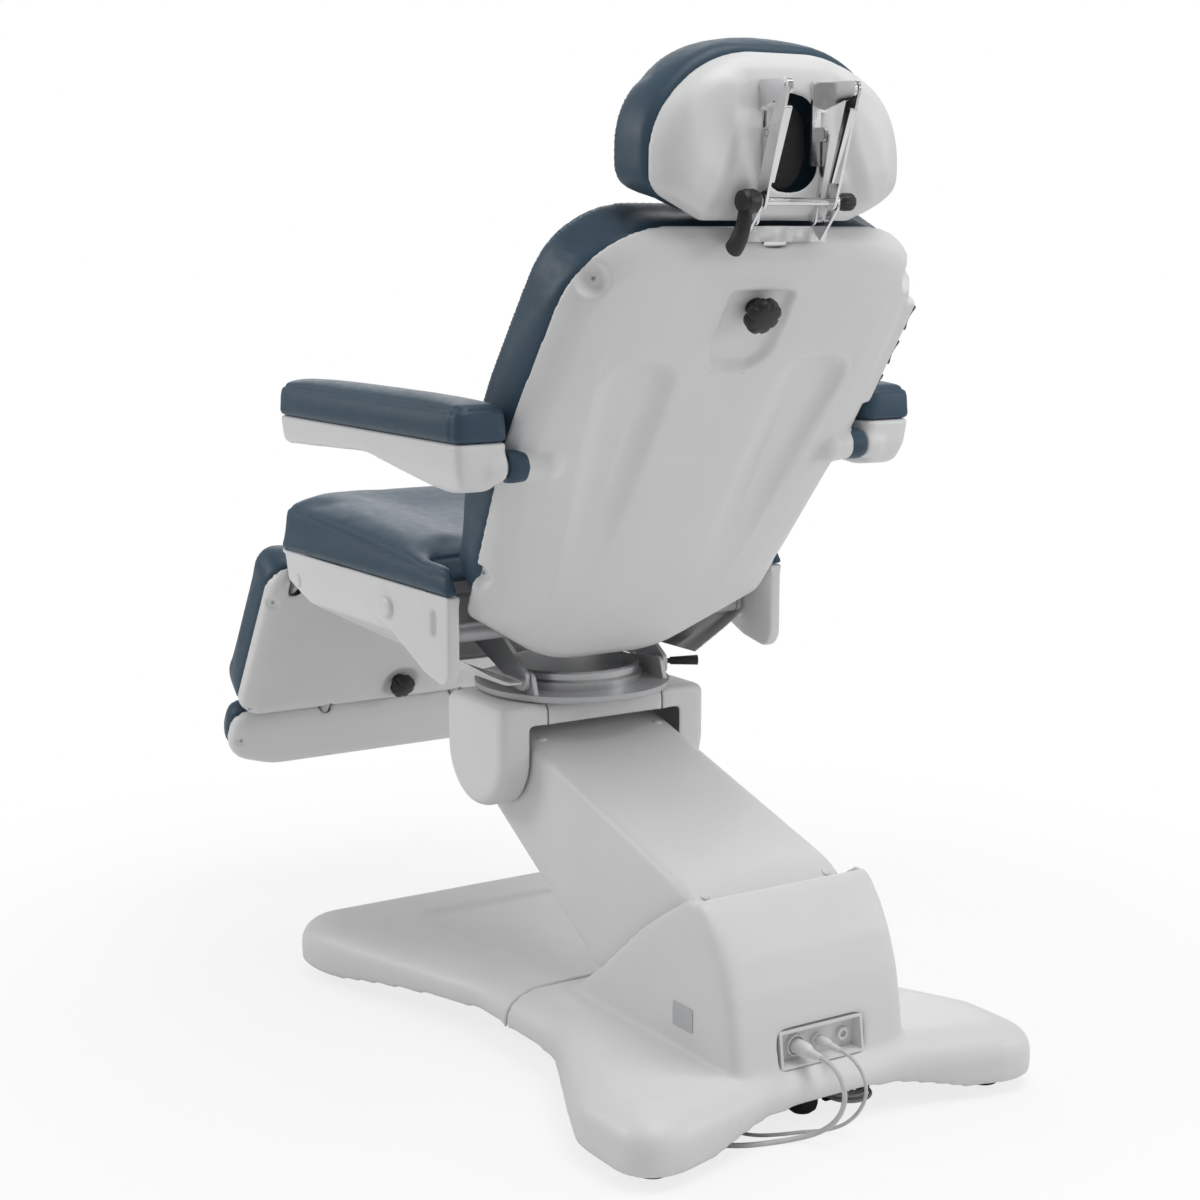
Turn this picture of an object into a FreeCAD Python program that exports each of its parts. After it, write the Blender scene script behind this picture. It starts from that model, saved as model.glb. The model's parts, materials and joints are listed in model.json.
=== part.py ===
"""Electric treatment table: lift base, swivelling seat, back, leg rest, armrests and headrest.

Millimetres. +Z is up, the front of the chair faces -Y, the sitter's left is +X, and the
origin is on the floor under the swivel axis. Nothing is swivelled at rest.
"""
import FreeCAD
import Part
import math
import os
from FreeCAD import Placement, Rotation, Vector

# Fits and walls
RUN = 0.05            # radial clearance of a shaft that turns in its bore
GAP = 0.4             # clearance between flat pieces that slide past each other
WALL = 5.0            # moulded shells
SEAT_CLEAR = 0.3      # soft piece to what carries it

# Base plan and heights
BASE_HALF_W = 342.0
BASE_FRONT = -330.0
BASE_REAR = 704.0
BASE_WAIST = 240.0
BASE_SKIRT_Z = 15.0
BASE_WALL_Z = 58.0
BASE_DECK_Z = 92.0
BASE_WALL = 6.0
BASE_SEAM_Y = 200.0
SIDE_ARCH = 26.0
REAR_ARCH = 29.0
DECK_RECESS = 6.0

# Lift arm: hull of a large round root and a smaller round tip
ROOT_Y, ROOT_Z, ROOT_R = 430.0, 190.0, 132.0
TIP_Y, TIP_Z, TIP_R = 12.0, 372.0, 75.0
ARM_HALF_W = 130.0
ARM_WALL = 9.0
ARM_PLATE_X = 77.0
ARM_PLATE_T = 10.0
ROOT_SHAFT_R = 15.0
TIP_SHAFT_R = 13.0
LINK_RISE = 48.0
LINK_PIN_R = 8.0

# Housing on the rear of the base
HOUSING_HALF_W = 148.0
HOUSING_WALL = 9.0
HOUSING_MOUTH_Y = 262.0

# Knuckle on top of the lift arm
KNUCKLE_FRONT = -74.0
KNUCKLE_REAR = 100.0
KNUCKLE_TOP = 486.0
KNUCKLE_HALF_W = 184.0
KNUCKLE_SEAM_X = 103.0
KNUCKLE_LIP_Z = 453.0
KNUCKLE_WALL = 4.0

# Swivel
SPINDLE_R = 25.0
TURNTABLE_R = 151.0
TURNTABLE_Z = 488.0
TURNTABLE_T = 10.0
DRUM_R = 104.0
DRUM_TOP = 526.0
GUSSET_X = 112.0
GUSSET_T = 7.0
TILT_Y, TILT_Z = 62.0, 516.0
TILT_PIN_R = 8.0
TILT_EYE_R = 14.0
LEVER_X, LEVER_Y = -139.0, 24.0
LEVER_PIN_R = 4.0

# Seat
SEAT_HALF_W = 300.0
SEAT_FRONT = -448.0
SEAT_BACK_EDGE = 36.0
HORN_REAR = 150.0
HORN_W = 26.0
SEAT_BASE_Z = 670.0
SEAT_PAD = 72.0
RAIL_INSET = 38.0
RAIL_X = SEAT_HALF_W - RAIL_INSET
HORN_INNER = SEAT_HALF_W - HORN_W
RAIL_T = 8.0

# Back: hinge place, recline from upright, and sizes along and across the back
BACK_Y, BACK_Z = 60.0, 600.0
BACK_LEAN = 34.0
BACK_RIM = -30.0
BACK_PAD = 84.0
BACK_BOTTOM = -37.0
BACK_CORNER = 72.0
BACK_TOP = 728.0
BACK_CLEAR = 6.0
BACK_BULGE = 38.0
BACK_BULGE_V = 400.0
BACK_FLARE = 25.0
BACK_HALF_LOW = RAIL_X - BACK_CLEAR
BACK_HALF_MID = BACK_HALF_LOW + BACK_BULGE
BACK_HALF_HIGH = BACK_HALF_LOW + BACK_FLARE
BACK_PAD_BOTTOM = 97.0
BACK_PAD_TOP = 718.0
HINGE_TUBE_R = 14.0
HINGE_PIN_R = 8.0
POST_W, POST_T = 36.0, 12.0
POST_Z = -48.0
POST_FOOT = 455.0
TBAR_RISE = 8.0
TBAR_V = BACK_TOP + TBAR_RISE
KNOB_R = 25.0
KNOB_V = 624.0
POCKET_HALF = 56.0
SCOOP_DEPTH = 9.0
ROCKER_V = (470.0, 530.0, 590.0)
POD_X = BACK_HALF_MID - 5.0

# Armrests
ARM_REST_CLEAR = 8.0
ARM_REST_INNER = BACK_HALF_MID + ARM_REST_CLEAR
ARM_REST_W = 84.0
ARM_REST_FRONT = -238.0
ARM_REST_REAR = 340.0
ARM_REST_SPLIT = 906.0
ARM_REST_PAD = 50.0
ARM_REST_Y, ARM_REST_Z = 318.0, 872.0
ARM_REST_PIN_R = 12.0

# Leg rest and foot section
LEG_Y, LEG_Z = -440.0, 640.0
LEG_LEAN = 31.7
LEG_HALF_W = 300.0
LEG_TOP = -20.0
LEG_BOTTOM = -340.0
LEG_REAR = -13.0
LEG_RIM = 17.0
LEG_PAD = 74.0
FOOT_GAP = 3.0
FOOT_LENGTH = 126.0
FOOT_PAD = 42.0
FOOT_ROD_R = 9.0
FOOT_ROD_X = 130.0

# Headrest linkage in the side plane: clamp rod, arm top, link foot and link head
LEAN = math.radians(BACK_LEAN)
POST_TOP_Y = BACK_Y + TBAR_V * math.sin(LEAN) - POST_Z * math.cos(LEAN)
POST_TOP_Z = BACK_Z + TBAR_V * math.cos(LEAN) + POST_Z * math.sin(LEAN)
TBAR_Y, TBAR_Z = POST_TOP_Y + 1.6, POST_TOP_Z - 17.3
CLAMP_Y, CLAMP_Z = TBAR_Y + 37.0, TBAR_Z + 51.0
HEAD_Y, HEAD_Z = TBAR_Y + 82.0, TBAR_Z + 192.0
LINK_FOOT_Y, LINK_FOOT_Z = TBAR_Y + 11.0, TBAR_Z + 29.0
LINK_HEAD_Y, LINK_HEAD_Z = TBAR_Y + 35.0, TBAR_Z + 136.0
HEAD_ARM_X = 52.0
CLAMP_R = 5.0
HEAD_PIN_R = 4.0
HEAD_RIM_Y = TBAR_Y - 13.0
HEAD_BOTTOM = TBAR_Z + 27.0
HEAD_HALF_W = 197.0
HEAD_HEIGHT = 212.0
HEAD_PAD = 82.0
HEAD_DEPTH = 38.0

# Leads
MAINS_D = 7.0
HAND_D = 5.0
MAINS_COIL_R = 48.0
HAND_COIL_R = 34.0
SOCKET_Z = 110.0
SOCKET_Y = 616.0
MAINS_X, HAND_X, PEDAL_X = 34.0, -4.0, -46.0

SIDE_ON = Placement(Vector(0, 0, 0), Rotation(Vector(1, 1, 1), 120))
PARTS = {}


# Small geometry helpers

def place(shape, placement):
    """A copy of the shape moved by the placement."""
    copy = shape.copy()
    copy.Placement = placement.multiply(copy.Placement)
    return copy


def lean_frame(y, z, lean):
    """Frame with X across, Y up a plane that leans back by lean degrees, and Z out of its front."""
    return Placement(Vector(0, y, z), Rotation(Vector(1, 0, 0), 90.0 - lean))


def fuse(*shapes):
    """One solid from touching shapes."""
    result = shapes[0]
    for shape in shapes[1:]:
        result = result.fuse(shape)
    return result.removeSplitter()


def mirror_x(shape):
    """The shape on the other side of the middle plane."""
    return shape.mirror(Vector(0, 0, 0), Vector(1, 0, 0))


def box(x0, x1, y0, y1, z0, z1):
    """A block between two corners."""
    return Part.makeBox(x1 - x0, y1 - y0, z1 - z0, Vector(x0, y0, z0))


def rod_x(y, z, radius, x0, x1):
    """A round bar along X."""
    return Part.makeCylinder(radius, x1 - x0, Vector(x0, y, z), Vector(1, 0, 0))


def rod_y(x, z, radius, y0, y1):
    """A round bar along Y."""
    return Part.makeCylinder(radius, y1 - y0, Vector(x, y0, z), Vector(0, 1, 0))


def rod_z(x, y, radius, z0, z1):
    """A round bar along Z."""
    return Part.makeCylinder(radius, z1 - z0, Vector(x, y, z0), Vector(0, 0, 1))


def turn(points, i):
    """Left turn of a polygon at corner i: positive where the corner is convex."""
    a, b, c = points[i - 1], points[i], points[(i + 1) % len(points)]
    return (b[0] - a[0]) * (c[1] - b[1]) - (b[1] - a[1]) * (c[0] - b[0])


def inset_polygon(points, inset):
    """A counter-clockwise polygon with every side moved inwards."""
    moved = []
    for i in range(len(points)):
        a, b, c = points[i - 1], points[i], points[(i + 1) % len(points)]
        before = math.hypot(b[0] - a[0], b[1] - a[1])
        after = math.hypot(c[0] - b[0], c[1] - b[1])
        n0 = (-(b[1] - a[1]) / before, (b[0] - a[0]) / before)
        n1 = (-(c[1] - b[1]) / after, (c[0] - b[0]) / after)
        share = inset / (1 + n0[0] * n1[0] + n0[1] * n1[1])
        moved.append((b[0] + share * (n0[0] + n1[0]), b[1] + share * (n0[1] + n1[1])))
    return moved


def outline(corners, inset=0.0, height=0.0):
    """Closed wire through corners (a, b, radius), moved inwards and lifted to a height."""
    flat = [(c[0], c[1]) for c in corners]
    moved = inset_polygon(flat, inset)
    radii = []
    for i, corner in enumerate(corners):
        wanted = corner[2] - inset if turn(flat, i) > 0 else corner[2] + inset
        radii.append(max(wanted, 0.8) if corner[2] else 0.0)
    arcs = []
    for i, radius in enumerate(radii):
        here = Vector(moved[i][0], moved[i][1], height)
        if not radius:
            arcs.append((here, here, here))
            continue
        back = Vector(moved[i - 1][0], moved[i - 1][1], height) - here
        ahead = Vector(*moved[(i + 1) % len(moved)], height) - here
        back.normalize()
        ahead.normalize()
        half = back.getAngle(ahead) / 2
        middle = back + ahead
        middle.normalize()
        cut = radius / math.tan(half)
        nearest = here + middle * (radius / math.sin(half) - radius)
        arcs.append((here + back * cut, nearest, here + ahead * cut))
    edges = []
    for i, (start, nearest, end) in enumerate(arcs):
        if (end - start).Length > 1e-6:
            edges.append(Part.Arc(start, nearest, end).toShape())
        following = arcs[(i + 1) % len(arcs)][0]
        if (following - end).Length > 1e-6:
            edges.append(Part.LineSegment(end, following).toShape())
    return Part.Wire(edges)


def mirrored(half):
    """A counter-clockwise outline from its right half, given from front to rear."""
    return half + [(-a, b, r) for a, b, r in reversed(half)]


def stack(corners, levels):
    """A moulded form: outlines at (inset, height) joined by straight walls."""
    return Part.makeLoft([outline(corners, inset, height) for inset, height in levels], True, True)


def slab(corners, low, high):
    """A flat piece of one outline."""
    return Part.Face(outline(corners, 0.0, low)).extrude(Vector(0, 0, high - low))


def side_slab(corners, x0, x1):
    """A plate whose outline is drawn in the side view (y, z), from x0 to x1."""
    return place(slab(corners, x0, x1), SIDE_ON)


def side_stack(corners, levels):
    """A moulded form whose outlines are drawn in the side view and stacked along X."""
    return place(stack(corners, levels), SIDE_ON)


def hull_wire(y1, z1, r1, y2, z2, r2, x):
    """Belt line round two circles in the side view, at x."""
    along = math.atan2(z2 - z1, y2 - y1)
    spread = math.acos((r1 - r2) / math.hypot(y2 - y1, z2 - z1))

    def at(y, z, r, angle):
        return Vector(x, y + r * math.cos(angle), z + r * math.sin(angle))

    up, down = along + spread, along - spread
    first_top, first_low = at(y1, z1, r1, up), at(y1, z1, r1, down)
    next_top, next_low = at(y2, z2, r2, up), at(y2, z2, r2, down)
    far = at(y2, z2, r2, along)
    near = at(y1, z1, r1, along + math.pi)
    return Part.Wire([
        Part.LineSegment(first_top, next_top).toShape(),
        Part.Arc(next_top, at(y2, z2, r2, along + spread / 2), far).toShape(),
        Part.Arc(far, at(y2, z2, r2, along - spread / 2), next_low).toShape(),
        Part.LineSegment(next_low, first_low).toShape(),
        Part.Arc(first_low, at(y1, z1, r1, down - (math.pi - spread) / 2), near).toShape(),
        Part.Arc(near, at(y1, z1, r1, up + (math.pi - spread) / 2), first_top).toShape(),
    ])


def hull_plate(y1, z1, r1, y2, z2, r2, x0, x1):
    """A flat lever: belt line round two circles, from x0 to x1."""
    return Part.Face(hull_wire(y1, z1, r1, y2, z2, r2, x0)).extrude(Vector(x1 - x0, 0, 0))


def both_sides(shape):
    """The shape and its mirror image as two solids."""
    return [shape, mirror_x(shape)]


def turned(profile, origin, axis):
    """A solid of revolution from (radius, height) corners, about an axis through origin."""
    points = [Vector(r, 0, h) for r, h in profile]
    face = Part.Face(Part.makePolygon(points + [points[0]]))
    solid = face.revolve(Vector(0, 0, 0), Vector(0, 0, 1), 360)
    return place(solid, Placement(origin, Rotation(Vector(0, 0, 1), axis)))


def star_knob(origin, axis, radius, stem):
    """A lobed hand knob: stem first, then a crowned head with seven flutes."""
    head, flutes = 22.0, 7
    knob = turned([(0, stem), (radius * 0.7, stem), (radius, stem + 5), (radius, stem + head - 5),
                   (radius * 0.78, stem + head), (0, stem + head + 1.5)], Vector(0, 0, 0),
                   Vector(0, 0, 1))
    for i in range(flutes):
        angle = 2 * math.pi * i / flutes
        reach = radius * 1.1
        knob = knob.cut(rod_z(reach * math.cos(angle), reach * math.sin(angle), radius * 0.2, stem - 1,
                              stem + head + 3))
    knob = knob.fuse(rod_z(0, 0, 8.0, 0, stem + 1)).removeSplitter()
    return place(knob, Placement(origin, Rotation(Vector(0, 0, 1), axis)))


def cord_tube(points, diameter):
    """A cord along straight runs and tangent arcs; prints its radii and checks its volume."""
    corners = [Vector(*p) for p in points]
    edges, radii = [], []
    cursor = corners[0]
    for before, here, after in zip(corners, corners[1:], corners[2:]):
        back, ahead = before - here, after - here
        shorter = min(back.Length, ahead.Length)
        back.normalize()
        ahead.normalize()
        half = back.getAngle(ahead) / 2
        cut = 0.45 * shorter
        radius = cut * math.tan(half)
        middle = back + ahead
        middle.normalize()
        start, end = here + back * cut, here + ahead * cut
        nearest = here + middle * (radius / math.sin(half) - radius)
        edges.append(Part.LineSegment(cursor, start).toShape())
        edges.append(Part.Arc(start, nearest, end).toShape())
        radii.append(radius)
        cursor = end
    edges.append(Part.LineSegment(cursor, corners[-1]).toShape())
    path = Part.Wire(edges)
    length = path.Length
    ring = Part.Wire(Part.makeCircle(diameter / 2, corners[0], corners[1] - corners[0]))
    tube = path.makePipeShell([ring], True, False)
    share = tube.Volume / (math.pi * diameter ** 2 / 4 * length)
    print("cord radii", [round(r) for r in radii], "length", round(length), "volume share",
          round(share, 4))
    return tube


def cord_coil(outer_r, turns, diameter, tail):
    """A tied coil about Z: spirals in, climbs a layer in half a turn, and spirals out again.

    It enters at +X heading towards -Y and leaves the same way. Returns the tube and its far end.
    """
    pitch = diameter + 0.6
    here = Vector(outer_r, 0, 1.6 + diameter / 2)
    heading, inwards = Vector(0, -1, 0), Vector(-1, 0, 0)
    edges = [Part.LineSegment(here - heading * diameter, here).toShape()]
    spiral = [outer_r - pitch / 2 * i for i in range(2 * turns)]
    steps = [(r, 0.0) for r in spiral] + [(spiral[-1] - pitch / 2, pitch)] + [(r,
                                                                               0.0) for r in spiral[:0:-1]]
    samples = []
    for radius, climb in steps:
        across = inwards * math.sqrt(4 * radius ** 2 - climb ** 2) + Vector(0, 0, climb)
        edges.append(Part.Arc(here, here + across * 0.5 + heading * radius, here + across).toShape())
        samples.append(edges[-1].discretize(25))
        here = here + across
        heading, inwards = heading * -1, inwards * -1
    end = here + heading * tail
    edges.append(Part.LineSegment(here, end).toShape())
    path = Part.Wire(edges)
    ring = Part.Wire(Part.makeCircle(diameter / 2, edges[0].Vertexes[0].Point, Vector(0, 1, 0)))
    nearest = min((p - q).Length for i in range(len(samples)) for j in range(i + 2, len(samples))
                  for p in samples[i] for q in samples[j])
    print("coil length", round(path.Length), "least gap", round(nearest - diameter, 2))
    return path.makePipeShell([ring], True, False), end


def coil_ties(outer_r, turns, diameter):
    """Two flat ties round the wound strands, at the front and the rear of the coil."""
    pitch = diameter + 0.6
    inner_r = outer_r - pitch * (turns + 1)
    low, high = 1.6 - GAP, 1.6 + 2 * diameter + 1.2
    ties = []
    for y in (-1, 1):
        span = sorted((y * (inner_r - 1), y * (outer_r + diameter / 2 + 1.5)))
        band = box(-4, 4, span[0] - 1, span[1] + 1, 0, high + 1)
        ties.append(band.cut(box(-5, 5, span[0], span[1], low, high)))
    return ties


def keep(name, *shapes):
    """Note the shapes as one named piece."""
    PARTS[name] = shapes[0] if len(shapes) == 1 else Part.makeCompound(list(shapes))


# Base covers, frame and feet

BASE_CORNERS = mirrored([
    (BASE_HALF_W, BASE_FRONT, 70), (BASE_HALF_W, -215, 120), (BASE_WAIST, 120, 180),
    (BASE_WAIST - 4, 330, 110), (BASE_HALF_W, 560, 90), (BASE_HALF_W, BASE_REAR, 50),
    (BASE_HALF_W - 75, BASE_REAR, 45), (110, BASE_REAR - 42, 160),
])


def base_shell():
    """The whole moulded base skin, open below, with arched skirts."""
    outer = stack(BASE_CORNERS, [(3, BASE_SKIRT_Z), (0, BASE_SKIRT_Z + 7), (0, BASE_WALL_Z),
                                 (7, BASE_WALL_Z + 14),
                                 (22, BASE_DECK_Z - 8), (48, BASE_DECK_Z)])
    w = BASE_WALL
    inner = stack(BASE_CORNERS, [(w + 2, BASE_SKIRT_Z - 1), (w, BASE_SKIRT_Z + 7), (w, BASE_WALL_Z - 2),
                                 (w + 8, BASE_WALL_Z + 9), (w + 24, BASE_DECK_Z - 16),
                                 (w + 50, BASE_DECK_Z - 12)])
    skin = outer.cut(inner)
    half_chord = 330.0
    radius = (half_chord ** 2 + SIDE_ARCH ** 2) / (2 * SIDE_ARCH)
    skin = skin.cut(rod_x(150.0, BASE_SKIRT_Z + SIDE_ARCH - radius, radius, -BASE_HALF_W - 9,
                          BASE_HALF_W + 9))
    half_chord = 215.0
    radius = (half_chord ** 2 + REAR_ARCH ** 2) / (2 * REAR_ARCH)
    return skin.cut(rod_y(0.0, BASE_SKIRT_Z + REAR_ARCH - radius, radius, BASE_REAR - 110,
                          BASE_REAR + 9))


def housing_level(inset, front, rear, height, radius):
    """One horizontal outline of the rear housing."""
    w = HOUSING_HALF_W - inset
    return outline([(-w, front, radius), (w, front, radius), (w, rear, radius), (-w, rear, radius)], 0,
                   height)


def rear_housing(inset):
    """The rear housing as a solid; with an inset it is the hollow that opens towards the arm."""
    levels = [(72, 194, 640, 20), (146, 299, 630, 20), (190, 352, 621, 20), (236, 407, 604, 20),
              (270, 460, 584, 18), (295, 503, 562, 14), (306, 520, 548, 10)]
    wires = []
    for height, front, rear, radius in levels:
        wires.append(housing_level(inset, HOUSING_MOUTH_Y if inset else front, rear - inset, height,
                                   radius))
    if inset:
        wires.insert(0, housing_level(inset, HOUSING_MOUTH_Y, 640 - inset, 5, 20))
        wires.append(housing_level(inset, HOUSING_MOUTH_Y, 520, 340, 10))
    return Part.makeLoft(wires, True, True)


PANEL_W, PANEL_LOW, PANEL_HIGH, PANEL_RIM = 70.0, 86.0, 138.0, 4.0


def build_base():
    """Covers, steel frame, feet, pivot shafts, drive and connectors of the fixed base."""
    skin = base_shell()
    limit = BASE_HALF_W + 20
    front = skin.common(box(-limit, limit, BASE_FRONT - 20, BASE_SEAM_Y - GAP, 0, BASE_DECK_Z + 9))
    recess = stack([(-168, -200, 30), (168, -200, 30), (150, 186, 30), (-150, 186, 30)],
                   [(6, BASE_DECK_Z - DECK_RECESS), (0, BASE_DECK_Z + 1)])
    keep("base_front_cover", front.cut(recess))

    rear = skin.common(box(-limit, limit, BASE_SEAM_Y + GAP, BASE_REAR + 20, 0, BASE_DECK_Z + 9))
    solid = rear_housing(0.0)
    mouth_w = HOUSING_HALF_W - HOUSING_WALL
    mouth = box(-mouth_w, mouth_w, BASE_SEAM_Y - 50, HOUSING_MOUTH_Y + 30, BASE_DECK_Z, 320)
    rear = rear.fuse(solid).cut(rear_housing(HOUSING_WALL)).cut(mouth)
    window = box(-PANEL_W, PANEL_W, SOCKET_Y - 6, BASE_REAR - 40, PANEL_LOW, PANEL_HIGH)
    keep("base_rear_cover", rear.cut(window).removeSplitter())

    tray = solid.common(box(-PANEL_W + GAP, PANEL_W - GAP, SOCKET_Y - 4, BASE_REAR, PANEL_LOW + GAP,
                            PANEL_HIGH - GAP))
    tray = tray.cut(box(-PANEL_W + PANEL_RIM, PANEL_W - PANEL_RIM, SOCKET_Y, BASE_REAR,
                        PANEL_LOW + PANEL_RIM, PANEL_HIGH - PANEL_RIM))
    sockets = []
    for x, outer, bore in ((MAINS_X, 15.0, 12.5), (HAND_X, 10.0, 7.5), (PEDAL_X, 9.0, 5.0)):
        ring = rod_y(x, SOCKET_Z, outer, SOCKET_Y, SOCKET_Y + 6)
        sockets.append(ring.cut(rod_y(x, SOCKET_Z, bore, SOCKET_Y + 1, SOCKET_Y + 7)))
    keep("connector_panel", tray, *sockets)

    rail_low, rail_high = 46.0, 66.0
    rails = [box(x, x + 40, BASE_FRONT + 60, 612, rail_low, rail_high) for x in (160.0, -200.0)]
    front_bar = box(-300, 300, BASE_FRONT + 30, BASE_FRONT + 70, rail_low, rail_high)
    rear_bar = box(-300, 300, 572, 612, rail_low, rail_high)
    outriggers = [box(x, x + 40, 612, BASE_REAR - 40, rail_low, rail_high) for x in (260.0, -300.0)]
    bridge = box(-200, 200, ROOT_Y - 36, ROOT_Y + 36, 30.0, 50.0)
    eye = 34.0
    upright = side_slab([(ROOT_Y - 40, 49, 4), (ROOT_Y + 40, 49, 4),
                         (ROOT_Y + eye, ROOT_Z + LINK_RISE + 18, 24),
                         (ROOT_Y - eye, ROOT_Z + LINK_RISE + 18, 24)], 54.0, 64.0)
    posts = []
    for y in (BASE_FRONT + 180, BASE_SEAM_Y - 50, BASE_SEAM_Y + 100, 590):
        posts += both_sides(rod_z(166, y, 6, rail_high - 1, BASE_DECK_Z - 12))
    frame = fuse(front_bar, *rails, rear_bar, *outriggers, bridge, *both_sides(upright), *posts)
    frame = frame.cut(rod_x(ROOT_Y, ROOT_Z, ROOT_SHAFT_R, -99, 99))
    frame = frame.cut(rod_x(ROOT_Y, ROOT_Z + LINK_RISE, LINK_PIN_R, -99, 99))
    keep("base_frame", frame)

    reach = ARM_PLATE_X + ARM_PLATE_T
    shaft = rod_x(ROOT_Y, ROOT_Z, ROOT_SHAFT_R, -reach, reach)
    pin = rod_x(ROOT_Y, ROOT_Z + LINK_RISE, LINK_PIN_R, -64, 64)
    keep("base_shafts", shaft, pin)

    feet = []
    for x, y in ((280, BASE_FRONT + 50), (-280, BASE_FRONT + 50), (280, BASE_REAR - 60),
                 (-280, BASE_REAR - 60)):
        feet.append(turned([(0, 0), (21, 0), (23, 3), (23, 6), (8, 10), (8, rail_low), (0, rail_low)],
                           Vector(x, y, 0), Vector(0, 0, 1)))
    feet.append(turned([(0, 0), (14, 0), (20, 5), (22, 12), (22, rail_low), (0, rail_low)],
                       Vector(0, 592, 0), Vector(0, 0, 1)))
    keep("feet", *feet)
    keep("lift_motor", fuse(box(14, 104, 574, 606, rail_high, 128), rod_x(590, 108, 14, -2, 15)))
    keep("control_box", side_slab([(574, rail_high, 3), (606, rail_high, 3), (606, 120, 6),
                                   (574, 120, 6)], -108, -12))


# Lift arm and knuckle

def arm_skin(inset, half_w, ends):
    """Belt-shaped arm body; ends is how far its long edges are rounded off."""
    wires = []
    for x, extra in ((-half_w, ends), (-half_w + ends * 0.4, ends * 0.35), (-half_w + ends, 0),
                     (half_w - ends, 0), (half_w - ends * 0.4, ends * 0.35), (half_w, ends)):
        shrink = inset + extra
        wires.append(hull_wire(TIP_Y, TIP_Z, TIP_R - shrink, ROOT_Y, ROOT_Z, ROOT_R - shrink, x))
    return Part.makeLoft(wires, True, True)


def build_arm():
    """Steel lever, its moulded cover, and the level link beside it."""
    plate = hull_plate(TIP_Y, TIP_Z, 24, ROOT_Y, ROOT_Z, 44, ARM_PLATE_X, ARM_PLATE_X + ARM_PLATE_T)
    inner_w = ARM_HALF_W - ARM_WALL
    pieces = both_sides(plate)
    for share in (0.36, 0.62):
        y = TIP_Y + share * (ROOT_Y - TIP_Y)
        z = TIP_Z + share * (ROOT_Z - TIP_Z)
        pieces.append(rod_x(y, z, 15, -inner_w, inner_w))
    pieces.append(rod_x(TIP_Y, TIP_Z, TIP_SHAFT_R, -106, 106))
    lever = fuse(*pieces)
    keep("lift_arm", lever.cut(rod_x(ROOT_Y, ROOT_Z, ROOT_SHAFT_R + RUN, -120, 120)))

    cover = arm_skin(0.0, ARM_HALF_W, 11.0)
    hollow = hull_plate(TIP_Y, TIP_Z, TIP_R - ARM_WALL, ROOT_Y, ROOT_Z, ROOT_R - ARM_WALL, -inner_w,
                        inner_w)
    cover = cover.cut(hollow)
    tilt = math.radians(25.0)
    mouth = side_slab([(TIP_Y - 12, TIP_Z - 130, 1), (TIP_Y + 2, TIP_Z + 10, 1),
                       (TIP_Y + 2 + 110 * math.sin(tilt), TIP_Z + 10 + 110 * math.cos(tilt), 1),
                       (TIP_Y - 150, TIP_Z + 110, 1), (TIP_Y - 150, TIP_Z - 130, 1)], -inner_w, inner_w)
    well = side_slab([(ROOT_Y - 20, ROOT_Z + 6, 1), (ROOT_Y - 150, ROOT_Z - 150, 1),
                      (ROOT_Y + 160, ROOT_Z - 150, 1),
                      (ROOT_Y + 20, ROOT_Z + 6, 1)], -inner_w, inner_w)
    keep("arm_cover", cover.cut(mouth).cut(well))

    link = hull_plate(TIP_Y, TIP_Z + LINK_RISE, 14, ROOT_Y, ROOT_Z + LINK_RISE, 16, -11, 11)
    link = link.cut(rod_x(ROOT_Y, ROOT_Z + LINK_RISE, LINK_PIN_R + RUN, -12, 12))
    keep("level_link", link.cut(rod_x(TIP_Y, TIP_Z + LINK_RISE, LINK_PIN_R + 0.8, -12, 12)))


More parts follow.
